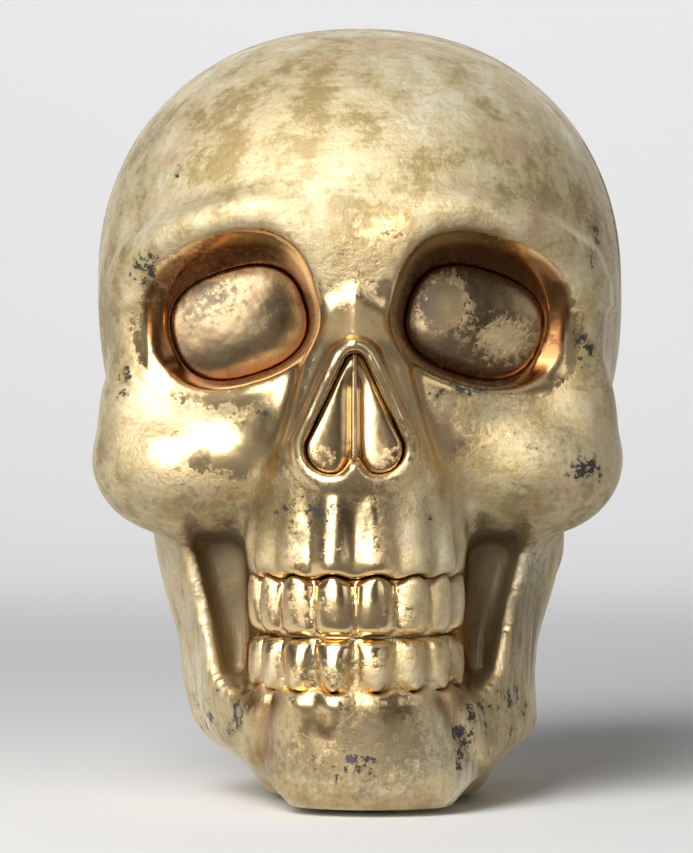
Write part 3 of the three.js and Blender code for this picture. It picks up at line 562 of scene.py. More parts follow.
@dataclass
class FaceRelief:
    """The small hollows and steps of the face: under the eyes, beside the orbits, the chin and the seam."""

    ahead: Fade = Fade(-44, -52)
    valley_depth: float = 0.9
    valley_x: float = 40
    valley_z: float = 107.5
    valley_lean: float = 0.05
    valley_half: float = 5
    valley_inner: Fade = Fade(20, 28)
    valley_outer: Fade = Fade(66, 58)
    orbit_depth: float = 1.5
    orbit_top: Fade = Fade(138.4, 136.8)
    orbit_foot: Fade = Fade(114, 130)
    orbit_side: Fade = Fade(57, 61)
    orbit_back: Fade = Fade(-28, -38)
    chin_depth: float = 1.0
    chin_half: float = 1.8
    chin_line: tuple[tuple[float, float], ...] = ((22, 34), (30, 11))
    chin_back: Fade = Fade(-50, -58)
    seam_depth: float = 0.9
    seam_front: Fade = Fade(-26, -19)
    seam_foot: Fade = Fade(118, 130)
    seam_top: Fade = Fade(190, 180)
    groove_depth: float = 0.7
    groove_half: float = 1.1

    def depth(self, p: Array, seam_y: float) -> Array:
        """Return how far the surface sinks.

        Args:
            p: Points, one row for each coordinate, with x from the middle line.
            seam_y: Where the seam lies from front to back.

        Returns:
            The depth.
        """
        x, y, z = p
        drop = z - self.valley_z + self.valley_lean * (x - self.valley_x)
        valley = self.valley_depth * np.exp(-((drop / self.valley_half) ** 2))
        valley = valley * self.valley_inner.at(x) * self.valley_outer.at(x)
        orbit = self.orbit_depth * self.orbit_top.at(z) * self.orbit_foot.at(z)
        orbit = orbit * self.orbit_side.at(x) * self.orbit_back.at(y)
        crease = bar(np.array([x, z]), *self.chin_line, 0, 0)
        chin = self.chin_depth * np.exp(-((crease / self.chin_half) ** 2)) * self.chin_back.at(y)
        seam = self.seam_depth * self.seam_front.at(y) * (y < seam_y)
        seam = seam * self.seam_foot.at(z) * self.seam_top.at(z)
        groove = self.groove_depth * np.exp(-(((y - seam_y) / self.groove_half) ** 2))
        return self.ahead.at(y) * valley + orbit + chin + seam + groove


@dataclass
class SkullForm:
    """The whole outside of the skull as one distance, with its recesses."""

    case: Braincase = field(default_factory=Braincase)
    eyes: EyeSocketForm = field(default_factory=EyeSocketForm)
    nose: NoseForm = field(default_factory=NoseForm)
    arch: ToothArch = field(default_factory=ToothArch)
    relief: FaceRelief = field(default_factory=FaceRelief)
    temple: Bone = Bone((58, -34, 132.6), (14, 24, 34))
    midface: Bone = Bone((0, -48, 109), (52, 34, 42))
    glabella: Bone = Bone((0, -72, 154), (18, 11, 10))
    orbit_side: Strut = Strut((58.9, -54, 149.1), (60.9, -50, 114.1), 4.5, 7.5)
    cheek_pad: Bone = Bone((47, -50, 94.5), (26.5, 24, 20.5))
    cheek_shoulder: Bone = Bone((58.5, -44, 106.5), (12.5, 20, 16))
    cheek_arch: Strut = Strut((63.5, -44, 95.5), (66.5, -12, 97.5), 9, 7.5, 5)
    cheek_root: Bone = Bone((69.5, 0, 98.5), (6.5, 12, 10), 5)
    chin: Bone = Bone((0, -77, 11), (23, 13.5, 15))
    jaw_root: Bone = Bone((34, -26, 72.5), (22, 22, 30))
    mastoid: Bone = Bone((50, 8, 72.5), (10, 13, 17))
    upper_root: Root = Root(3.6, 6.1, 4.8, 3, 22, 0.9)
    lower_root: Root = Root(4.8, 5, 1.5, 3, 14, 0.94, 4)
    upper_jaw_top: float = 110.9
    upper_jaw_fillet: float = 20.5
    jaw_width: float = 97
    jaw_front: float = -88
    jaw_mid_y: float = -20
    jaw_back: float = -10
    jaw_top: float = 84.5
    jaw_bow: float = 2.2
    jaw_rise: float = 9
    jaw_angle_z: float = 19
    jaw_fillet: float = 5
    jaw_rise_start: float = 7
    jaw_rise_end: float = 3
    border_fillet: float = 8
    gum_lap: float = 1.5
    gum_fillet: float = 2.5
    gum_foot: float = 8
    low_gum_inset: float = 1
    low_gum_setback: float = 2.5
    chin_width: float = 38
    chin_lean: float = 4
    chin_rise: float = 6
    chin_round: float = 9
    lean_foot: float = 6
    lean_over: float = 4
    ramus_thickness: float = 10
    ramus_inset: float = 3
    ramus_front: float = -38
    ramus_flare: float = 0.09
    ramus_curl: float = 0.004
    ramus_curl_drop: float = 3
    ramus_lean: float = 0.15
    wall_inset: float = 19.5
    wall_rise: float = 0.06
    wall_lap: float = 1
    wall_fillet: float = 8
    mouth_outset: float = 3.5
    mouth_inset: float = 0.2
    mouth_fillet: float = 1
    pocket_back: float = -48
    pocket_radius: float = 5.5
    pocket_foot_radius: float = 3
    pocket_over: float = 2
    pocket_lift: float = 6
    neck_width: float = 78
    neck_foot: float = 56
    neck_front: float = -52
    neck_back: float = 44
    neck_height: float = 124
    neck_rounding: float = 20
    neck_spread: float = 28
    neck_fillet: float = 15
    wall: float = 4
    underside: float = 1.8
    seam_y: float = -18
    nose_fillet: float = 4
    socket_fillet: float = 2.5
    lip_fillet: float = 2.5
    edge_fillet: float = 1.5

    def fluted(
        self, p: Array, d: Array, root: Root, widths: tuple[float, ...], gum_z: float, away: int
    ) -> Array:
        """Return d joined by the roots of one side's teeth.

        Args:
            p: Points, one row for each coordinate.
            d: The distance so far.
            root: The roots' sizes.
            widths: The teeth's widths from the middle line.
            gum_z: The height of the gum.
            away: 1 where the roots run upwards and -1 where they run down.

        Returns:
            The joined distance.
        """
        for angle in self.arch.middles(widths):
            x, y = self.arch.point(angle, -root.inset, -root.inset)
            start = gum_z + away * root.start
            tip = (x * root.taper, y + root.lean, start + away * root.length)
            d = join(d, bar(p, (x, y, start), tip, root.radius, root.tip_radius), root.fillet)
        return d

    def upper_face(self, p: Array, d: Array) -> Array:
        """Return d joined by the temples, orbit rims, cheekbones and upper jaw.

        Args:
            p: Points, one row for each coordinate, with x from the middle line.
            d: The distance so far.

        Returns:
            The joined distance.
        """
        x, y, z = p
        d = self.midface.swell(p, self.temple.swell(p, d))
        d = self.glabella.swell(p, join(d, self.eyes.rim(p), self.eyes.rim_fillet))
        for bone in (self.orbit_side, self.cheek_pad, self.cheek_shoulder, self.cheek_arch, self.cheek_root):
            d = bone.swell(p, d)
        gum_z = self.arch.gum_top_z
        jaw = meet(self.arch.distance(x, y), z - self.upper_jaw_top, self.upper_jaw_fillet)
        jaw = meet(jaw, gum_z - self.gum_lap - z, self.gum_fillet)
        d = join(d, np.maximum(jaw, y - self.seam_y), self.jaw_fillet)
        return self.fluted(p, d, self.upper_root, self.arch.upper_widths, gum_z, 1)

    def lower_jaw(self, p: Array, d: Array) -> Array:
        """Return d joined by the jaw's horseshoe, chin, lower gum and rami.

        Args:
            p: Points, one row for each coordinate, with x from the middle line.
            d: The distance so far.

        Returns:
            The joined distance.
        """
        x, y, z = p
        half, reach = self.jaw_width / 2, self.jaw_mid_y - self.jaw_front
        flare = self.ramus_flare * (z - self.jaw_angle_z)
        above = np.maximum(0, z - self.arch.bite_z + self.ramus_curl_drop)
        flare = flare + self.ramus_curl * above**2
        side = np.maximum(0, x - np.maximum(0, flare))
        bow = (side / half) ** self.jaw_bow + (np.maximum(0, self.jaw_mid_y - y) / reach) ** self.jaw_bow
        plan = (bow ** (1 / self.jaw_bow) - 1) * half
        edge = self.chin_width / 2
        border = self.chin_rise * ease(edge, edge + self.chin_round, x)
        border = border + self.jaw_rise * share(edge + self.jaw_rise_start, half - self.jaw_rise_end, x)
        gum_z = self.arch.gum_low_z
        beside = np.maximum(0, side - half + self.wall_inset)
        wall_top = z - gum_z + self.wall_lap - self.wall_rise * beside**3
        wall_top = wall_top / np.hypot(1, 3 * self.wall_rise * beside**2)
        body = meet(meet(plan, wall_top, self.wall_fillet), z - self.jaw_top, self.jaw_fillet)
        body = np.maximum(meet(body, self.underside + border - z, self.border_fillet), y - self.jaw_back)
        d = self.chin.swell(p, join(d, body, self.jaw_fillet))
        gum = self.arch.distance(x, y, -self.low_gum_inset, -self.low_gum_setback)
        gum = meet(gum, z - gum_z - self.gum_lap, self.gum_fillet)
        gum = np.maximum(meet(gum, self.gum_foot - z, self.jaw_fillet), y - self.neck_front / 2)
        d = join(d, gum, self.jaw_fillet)
        d = self.fluted(p, d, self.lower_root, self.arch.lower_widths, gum_z, -1)
        ramus_x = half - self.ramus_thickness / 2 - self.ramus_inset
        middle = (ramus_x, (self.ramus_front + self.jaw_back) / 2, (self.jaw_top + self.jaw_angle_z) / 2)
        deep, tall = self.jaw_back - self.ramus_front, self.jaw_top - self.jaw_angle_z
        sizes = (self.ramus_thickness / 2, deep / 2, tall / 2)
        moved = np.array([x - flare, y + self.ramus_lean * np.maximum(0, self.jaw_top - z), z])
        return join(d, block(moved, middle, sizes, self.ramus_thickness / 2), self.jaw_fillet)

    def skull_base(self, p: Array, d: Array) -> Array:
        """Return d joined by the neck, the wall behind the teeth and the mastoids.

        Args:
            p: Points, one row for each coordinate, with x from the middle line.
            d: The distance so far.

        Returns:
            The joined distance.
        """
        x, y, z = p
        half = (self.neck_width / 2, (self.neck_back - self.neck_front) / 2, self.neck_height / 2)
        middle = (0, (self.neck_back + self.neck_front) / 2, self.neck_height / 2 - self.neck_rounding)
        spread = ease(self.underside, self.underside + self.neck_spread, z)
        taper = mix(self.neck_foot, self.neck_width, spread) / self.neck_width
        neck = block(np.array([x / taper, y, z]), middle, half, self.neck_rounding) * taper
        d = join(d, neck, self.neck_fillet)
        d = self.mastoid.swell(p, self.jaw_root.swell(p, d))
        inner = self.arch.distance(x, y, -self.arch.tooth_depth)
        ends = np.maximum(z - self.arch.gum_top_z, self.arch.gum_low_z - z) - self.wall
        return np.minimum(d, np.maximum(np.maximum(inner, ends), y - self.neck_front / 2))

    def mouth(self, p: Array) -> Array:
        """Return the distance to the recess that the teeth stand in, scalloped along the gums.

        Args:
            p: Points, one row for each coordinate, with x from the middle line.

        Returns:
            The distance, negative inside.
        """
        x, y, z = p
        arch = self.arch
        between_upper = 1 - arch.wave(x, y, arch.upper_widths)
        between_lower = 1 - arch.wave(x, y, arch.lower_widths)
        top = arch.gum_top_z - self.mouth_inset - arch.upper_scallop * between_upper
        low = arch.gum_low_z + self.mouth_inset + arch.lower_scallop * between_lower
        band = meet(z - top, low - z, self.mouth_fillet)
        band = np.maximum(band, arch.distance(x, y, self.mouth_outset))
        return np.maximum(np.maximum(band, -arch.distance(x, y, -arch.tooth_depth)), y - arch.y)

    def distance(self, points: Array) -> Array:
        """Return the distance to the skull's outside.

        Args:
            points: One row for each point.

        Returns:
            The distance, negative inside.
        """
        x, y, z = points.T
        lean = self.chin_lean * (1 - ease(self.lean_foot, self.arch.gum_low_z + self.lean_over, z))
        p = np.array([np.abs(x - lean), y, z])
        d = self.upper_face(p, self.case.distance(p))
        d = self.skull_base(p, self.lower_jaw(p, d))
        d = d + self.relief.depth(p, self.seam_y)
        out, top, foot = self.arch.width / 2, self.pocket_radius, self.pocket_foot_radius
        high_end = (out + top, self.arch.gum_top_z + self.pocket_over)
        low_end = (out + foot, self.arch.gum_low_z + self.pocket_lift)
        pocket = bar(np.array([p[0], z]), high_end, low_end, top, foot)
        d = meet(d, -meet(pocket, y - self.pocket_back, self.wall), self.wall)
        d = join(d, self.nose.roof(p), self.nose_fillet)
        d = meet(d, -self.eyes.hollow(p), self.socket_fillet)
        d = join(d, self.nose.lip(p), self.lip_fillet)
        d = meet(d, -self.nose.hollow(p), self.edge_fillet)
        d = meet(d, -self.mouth(p), self.edge_fillet)
        return meet(d, self.underside - z, self.edge_fillet)


@dataclass
class ToothRowForm:
    """One row of teeth as a distance: rounded crowns on a strip behind them."""

    arch: ToothArch
    upper: bool
    groove: float = 0.12
    bulge: float = 0.9
    crown_depth: float = 4.8
    roundness: float = 2.1
    gum_rounding: float = 1.2
    bite_rounding: float = 2.6
    gum_gap: float = 0.2
    upper_neck: float = 0.86
    lower_neck: float = 0.64
    neck_power: float = 0.8
    least_arch: float = 0.03
    strip: float = 2
    tooth_fillet: float = 0.3
    bulge_at: float = 0.45
    tip_lean: float = 1.1
    tip_start: float = 0.72
    tip_end: float = 1.1
    edge_inset: float = 0.2
    back_rounding: float = 0.6

    def distance(self, points: Array) -> Array:
        """Return the distance to the row of teeth.

        Args:
            points: One row for each point.

        Returns:
            The distance, negative inside.
        """
        x, y, z = points.T
        arch = self.arch
        side = np.abs(x)
        gum = arch.gum_top_z - arch.fit_gap if self.upper else arch.gum_low_z + arch.fit_gap
        bite = arch.bite_z + (arch.bite_gap if self.upper else -arch.bite_gap) / 2
        widths = arch.upper_widths if self.upper else arch.lower_widths
        reach = (z - gum) / (bite - gum)
        inset = arch.tooth_depth - arch.fit_gap
        ends = np.maximum(np.minimum(gum, bite) - z, z - np.maximum(gum, bite))
        strip = np.maximum(arch.distance(side, y, self.strip - inset), -arch.distance(side, y, -inset))
        d = np.maximum(np.maximum(strip, ends), y - arch.y)
        for angle, width in zip(arch.middles(widths), widths):
            d = join(d, self.crown(side, y, angle, width, reach), self.tooth_fillet)
        return d

    def crown(self, side: Array, y: Array, angle: float, width: float, reach: Array) -> Array:
        """Return the distance to one crown.

        Args:
            side: Distance from the middle line.
            y: Place from front to back.
            angle: The tooth's angle from the front.
            width: The tooth's width.
            reach: 0 at the gum and 1 at the biting edge.

        Returns:
            The distance, negative inside.
        """
        arch = self.arch
        x0, y0 = arch.point(angle, 0, 0)
        out = Vector((math.sin(angle) / arch.width, -math.cos(angle) / (2 * arch.depth))).normalized()
        across = (side - x0) * -out.y + (y - y0) * out.x
        forth = (side - x0) * out.x + (y - y0) * out.y
        height, scallop, neck = arch.lower_height, arch.lower_scallop, self.lower_neck
        if self.upper:
            height, scallop, neck = arch.upper_height, arch.upper_scallop, self.upper_neck
        arched = share(self.gum_gap, self.gum_gap + scallop, reach * height)
        sides = mix(neck, 1.0, share(0, 1, reach) ** self.neck_power)
        half = (width / 2 - self.groove) * sides * np.sqrt(np.maximum(arched, self.least_arch))
        face = self.bulge * (1 - 4 * (reach - self.bulge_at) ** 2)
        face = face - self.tip_lean * share(self.tip_start, self.tip_end, reach) ** 2
        deep, n = self.crown_depth, self.roundness
        bow = (np.abs(across) / half) ** n + (np.maximum(forth - face + deep, 0) / deep) ** n
        front = (bow ** (1 / n) - 1) * np.minimum(half, deep)
        back = -arch.tooth_depth + arch.fit_gap + self.edge_inset - forth
        crown = meet(front, (reach - 1) * height + self.edge_inset, self.bite_rounding)
        crown = meet(crown, self.edge_inset - reach * height, self.gum_rounding)
        return meet(crown, back, self.back_rounding)


@dataclass
class NoseInsertForm:
    """The front of the insert: two gently swollen panels beside a thin septum."""

    nose: NoseForm
    panel: float = 7.6
    swelling: float = 1.2
    edge_depth: float = 1.3
    edge_groove: float = 0.7
    septum_drop: float = 2.6
    septum_groove: float = 1.6
    septum_half: float = 0.6
    septum_side: float = 3
    septum_top: float = 7
    septum_fillet: float = 0.6
    edge_gap: float = 0.4
    back_gap: float = 0.3

    @property
    def back(self) -> float:
        """Return where the insert's back lies."""
        return self.nose.floor_y - self.back_gap

    def front(self, x: Array, z: Array) -> Array:
        """Return where the front lies.

        Args:
            x: Distance from the middle line.
            z: Height.

        Returns:
            The front's place from front to back.
        """
        edge = np.maximum(-self.nose.outline(x, z) - self.edge_gap, 0)
        aside = np.maximum(x - self.septum_half, 0)
        split = ease(self.nose.top_z, self.nose.top_z - self.septum_top, z)
        fall = ease(self.nose.top_z, self.nose.low_z, z)
        full = self.panel + self.swelling * fall
        panel = full - self.edge_depth * np.exp(-edge / self.edge_groove)
        panel = panel - self.septum_drop * split * np.exp(-aside / self.septum_groove)
        return self.back + join(-panel, self.septum_side * aside - full, self.septum_fillet)


def slope(distance: Callable[[Array], Array], points: Array, step: float = 0.12) -> tuple[Array, Array]:
    """Return a form's distance and gradient at points.

    Args:
        distance: The form.
        points: One row for each point.
        step: The finite difference.

    Returns:
        The distances and the gradients.
    """
    d = distance(points)
    gradient = np.empty_like(points)
    for axis in range(3):
        ahead = points.copy()
        ahead[:, axis] += step
        gradient[:, axis] = (distance(ahead) - d) / step
    return d, gradient


def settle(distance: Callable[[Array], Array], points: Array, reach: float, rounds: int = 5) -> Array:
    """Return points moved onto a form's surface.

    Args:
        distance: The form.
        points: One row for each point.
        reach: The furthest that a point may move.
        rounds: How many steps are made.

    Returns:
        The moved points.
    """
    moved = points.copy()
    for _ in range(rounds):
        d, gradient = slope(distance, moved)
        steep = np.maximum(np.linalg.norm(gradient, axis=1), LEAST_SLOPE)
        moved -= (np.clip(d / steep, -LONGEST_STEP, LONGEST_STEP) / steep)[:, None] * gradient
        drift = moved - points
        far = np.maximum(np.linalg.norm(drift, axis=1) / reach, 1)
        moved = points + drift / far[:, None]
    return moved


def relax(mesh: Mesh, points: Array, chosen: Array, strength: float = 0.5) -> Array:
    """Return points, or other values, drawn towards the mean of their neighbours.

    Args:
        mesh: The mesh whose edges join the points.
        points: One row for each point.
        chosen: Which points may move.
        strength: How far they go, from 0 to 1.

    Returns:
        The moved points.
    """
    pairs = np.empty(len(mesh.edges) * 2, np.int32)
    mesh.edges.foreach_get("vertices", pairs)
    a, b = pairs.reshape(-1, 2).T
    count = np.bincount(pairs, minlength=len(points))
    middle = np.empty_like(points)
    for axis in range(points.shape[1]):
        total = np.bincount(a, points[b, axis], len(points)) + np.bincount(b, points[a, axis], len(points))
        middle[:, axis] = total / np.maximum(count, 1)
    moved = points.copy()
    moved[chosen] = mix(points[chosen], middle[chosen], strength)
    return moved


@dataclass(frozen=True)
class Patch:
    """A soft-edged patch of the finish, placed in front view."""

    x: float
    z: float
    wide: float
    tall: float
    amount: float

    def weight(self, x: Array, z: Array) -> Array:
        """Return the patch's strength at points in front view."""
        far = ((x - self.x) / self.wide) ** 2 + ((z - self.z) / self.tall) ** 2
        return self.amount * np.exp(-far)


@dataclass
class LeafMap:
    """Where the leaf is frosted, worn to black, brushed or lies in a recess, and where patina and painted
    shade darken it.
    """

    form: SkullForm
    front: Fade = Fade(-20, -45)
    facing: Fade = Fade(-0.15, 0.35)
    probes: tuple[tuple[float, float], ...] = ((3.5, 0.4), (12, 0.6))
    # How much of the painted recess shade the pieces set inside recesses take.
    inset_share: float = 0.35
    jaw_side: Fade = Fade(28, 34)
    cheek_foot: Fade = Fade(88, 80)
    wall_foot_x: float = 33
    wall_foot_z: float = 36
    wall_lean: float = 0.3
    wall_facing: Fade = Fade(-0.45, -0.8)
    wall_edge: Fade = Fade(0, 3)
    # How much of the painted recess shade is cleared from the jaw's sides and their lit front walls.
    wall_clear: float = 0.85
    pocket_inner: Fade = Fade(29, 31)
    pocket_outer: Fade = Fade(4, 0)
    pocket_foot: Fade = Fade(32, 38)
    pocket_top: Fade = Fade(80, 72)
    pocket_back: Fade = Fade(-62, -55)
    # Painted shade in the jaw pockets, stronger on the skull's left, which faces away from the lamps, and in
    # the recesses of the jaw's sides.
    pocket_painted_shade: float = 0.75
    left_side_painted_shade: float = 0.25
    recess_painted_shade: float = 1.6
    # Where painted shade is cleared: inside the nose opening and beside the biting teeth.
    nostril: Fade = Fade(0.6, -0.6)
    bite_side: Fade = Fade(31, 29)
    bite_foot: Fade = Fade(30, 34)
    bite_top: Fade = Fade(68, 64)
    inner_clear: float = 0.4
    # The painted shade laid round the mouth of each eye socket.
    socket_edge: Fade = Fade(0.2, -1.2)
    socket_mouth: Fade = Fade(-77, -68)
    socket_shade: float = 0.6
    socket_inner: Fade = Fade(1.0, -0.5)
    socket_shine: float = 1.5
    rim_middle: float = 2.0
    rim_half: float = 2.6
    rim_top: Fade = Fade(150, 128)
    rim_shine: float = 0.9
    cavity_shine: float = 0.9
    side_wear: float = 0.24
    seam_wear: float = 0.72
    seam_wear_width: float = 1.3
    seam_foot: Fade = Fade(120, 135)
    seam_top: Fade = Fade(198, 180)
    streak_top: Fade = Fade(70, 45)
    streak_side: Fade = Fade(16, 30)
    polished: tuple[Patch, ...] = (
        Patch(-43, 98.5, 17, 8, 1.1),
        Patch(43, 103, 12, 6, 0.5),
        Patch(0, 118, 22, 30, 1.2),
        Patch(-4, 75, 26, 18, 0.55),
        Patch(0, 48, 34, 17, 1.2),
        Patch(-10, 27, 6, 10, 1.0),
        Patch(12, 30, 7, 6, 0.5),
        Patch(-24, 104, 9, 9, 0.8),
        Patch(24, 104, 9, 14, 0.7),
        Patch(-50, 147.5, 9, 4, 0.9),
        Patch(-38, 151.5, 10, 4, 1.0),
        Patch(-26, 154, 9, 4, 0.9),
        Patch(40, 152, 14, 3, 0.5),
        Patch(10, 158, 8, 5, 0.5),
    )
    frosted: tuple[Patch, ...] = (
        Patch(-44, 142, 14, 9, 0.4),
        Patch(24, 139, 6, 7, 0.9),
        Patch(42, 129, 9, 6, 0.8),
        Patch(50, 95, 20, 8, 0.5),
        Patch(35, 110, 14, 4, 0.7),
        Patch(8, 38, 24, 5, 0.45),
        Patch(-14, 56, 6, 6, 0.35),
        Patch(20, 76, 8, 12, 0.6),
        Patch(18, 50, 11, 13, 0.35),
        Patch(-22, 74, 6, 8, 0.4),
    )
    worn: tuple[Patch, ...] = (
        Patch(-57, 148, 7, 8, 0.75),
        Patch(-47, 175, 4, 3, 0.7),
        Patch(-25, 109, 4, 4, 0.75),
        Patch(26, 115, 14, 3, 0.55),
        Patch(38, 117, 8, 2.5, 0.6),
        Patch(66, 158, 4, 10, 0.6),
        Patch(62, 127, 5, 8, 0.7),
        Patch(63, 93, 8, 4, 0.75),
        Patch(0, 153, 8, 5, 0.45),
        Patch(-64, 118, 3, 9, 0.55),
        Patch(-60, 172, 4, 8, 0.4),
        Patch(58, 169, 5, 3, 0.5),
        Patch(-2, 15, 8, 3, 0.45),
        Patch(-32, 27, 5, 12, 0.58),
        Patch(30, 25, 7, 14, 0.62),
        Patch(-43, 22, 6, 14, 0.55),
        Patch(43, 30, 7, 18, 0.55),
        Patch(-10, 81, 10, 5, 0.4),
        Patch(16, 83, 8, 5, 0.4),
        Patch(0, 15, 26, 10, 0.3),
        Patch(-20, 84, 9, 10, 0.3),
        Patch(0, 85, 14, 6, 0.3),
        Patch(-45, 85, 17, 5, 0.32),
        Patch(46, 99, 16, 8, 0.25),
    )
    # Patina and painted shade: darker patches on the chin, the upper jaw, under the cheekbones, on the
    # forehead and down the jaw's sides, more on the side away from the lamps.
    patina_and_shade_patches: tuple[Patch, ...] = (
        Patch(0, 17, 30, 15, 0.85),
        Patch(11, 26, 9, 8, 0.5),
        Patch(-22, 82, 9, 14, 0.6),
        Patch(0, 84, 16, 7, 0.5),
        Patch(-45, 84, 20, 6, 0.55),
        Patch(47, 86, 20, 6, 0.4),
        Patch(54, 101, 14, 9, 0.45),
        Patch(37, 112, 14, 5, 0.3),
        Patch(0, 79, 9, 8, 0.55),
        Patch(-45, 168, 12, 8, 0.3),
        Patch(-43, 56, 8, 24, 0.35),
        Patch(43, 56, 8, 26, 0.6),
        Patch(52, 50, 6, 24, 0.45),
        Patch(-14, 178, 14, 9, 0.3),
    )

    def covered(self, patches: tuple[Patch, ...], x: Array, z: Array) -> Array:
        """Return the summed strength of patches at points in front view."""
        return sum(patch.weight(x, z) for patch in patches)

    def sheltered(self, points: Array, normals: Array) -> Array:
        """Return how deep in a recess each point lies, from 0 to 1.

        Args:
            points: One row for each point.
            normals: The surface's normals there.

        Returns:
            One value for each point.
        """
        total = sum(
            part * np.clip(1 - self.form.distance(points + reach * normals) / reach, 0, 1)
            for reach, part in self.probes
        )
        return np.clip(total, 0, 1)

    def layers(self, points: Array, normals: Array, inside: bool) -> dict[Layer, Array]:
        """Return the leaf's layers at points.

        Args:
            points: One row for each point.
            normals: The surface's normals there.
            inside: Whether the piece sits inside a recess.

        Returns:
            One value for each point in each layer.
        """
        x, y, z = points.T
        side, front = np.abs(x), self.front.at(y)
        ahead = np.ones(len(x)) if inside else self.facing.at(-normals[:, 1]) * front
        # Painted shade, stronger the deeper a point lies in a recess.
        recess_shade = self.sheltered(points, normals) * (self.inset_share if inside else 1.0)
        rim = self.form.eyes.outline(side, z)
        # Patina and painted shade from the patches in front view.
        patina_and_shade = self.covered(self.patina_and_shade_patches, x, z) * (0 if inside else ahead)
        wear = np.maximum(self.covered(self.worn, x, z) * ahead, self.side_wear * (1 - ahead))
        aside = np.zeros(len(x))
        if not inside:
            low = self.cheek_foot.at(z)
            wall_x = side - self.wall_foot_x - self.wall_lean * (z - self.wall_foot_z)
            lit = self.wall_facing.at(normals[:, 1]) * self.wall_edge.at(wall_x)
            aside = self.jaw_side.at(side) * low * (1 - lit)
            # Painted shade in the jaw pockets, more on the skull's left, and in the recesses of the jaw's
            # sides.
            pocket = self.pocket_inner.at(side) * self.pocket_outer.at(wall_x)
            pocket = pocket * self.pocket_foot.at(z) * self.pocket_top.at(z) * self.pocket_back.at(y)
            pocket = pocket * (self.pocket_painted_shade + self.left_side_painted_shade * (x > 0))
            patina_and_shade = np.maximum(patina_and_shade, self.recess_painted_shade * recess_shade * aside + pocket)
            # Painted shade is cleared from the jaw's sides, the nose opening and the teeth, and laid round
            # the socket mouths.
            recess_shade = recess_shade * (1 - self.wall_clear * np.maximum(aside, lit * low))
            nostril = self.nostril.at(self.form.nose.outline(side, z))
            biting = self.bite_side.at(side) * self.bite_foot.at(z) * self.bite_top.at(z)
            recess_shade = recess_shade * (1 - self.inner_clear * np.maximum(nostril, biting))
            socket = self.socket_shade * self.socket_edge.at(rim) * self.socket_mouth.at(y) * front
            recess_shade = np.maximum(recess_shade, socket)
            seam = np.exp(-(((y - self.form.seam_y) / self.seam_wear_width) ** 2))
            wear = np.maximum(wear, self.seam_wear * seam * self.seam_foot.at(z) * self.seam_top.at(z))
        edge = np.exp(-(((rim - self.rim_middle) / self.rim_half) ** 2)) * self.rim_top.at(z)
        shine = self.covered(self.polished, x, z) * ahead + self.rim_shine * edge * ahead
        shine = shine + self.cavity_shine * recess_shade + self.socket_shine * self.socket_inner.at(rim) * front
        frost = 1 - np.clip(shine, 0, 1) + self.covered(self.frosted, x, z) * ahead
        return {
            Layer.FROST: np.clip(np.maximum(frost, aside), 0, 1),
            Layer.WEAR: np.clip(wear, 0, 1),
            Layer.RECESS_SHADE: recess_shade,
            Layer.STREAK: self.streak_top.at(z) * self.streak_side.at(side),
            Layer.PATINA_AND_SHADE: np.clip(patina_and_shade, 0, 1),
        }


@dataclass(frozen=True)
class Grain:
    """A noise, by the size of its largest grain in millimetres, its finer grains and its stretch."""

    size: float
    detail: float
    rough: float
    stretch: Point | None = None
    turn: Point = (0.0, 0.0, 0.0)


@dataclass(frozen=True)
class Ramp:
    """A soft change of a value from one range to another."""

    low: float
    high: float
    to_low: float = 0.0
    to_high: float = 1.0


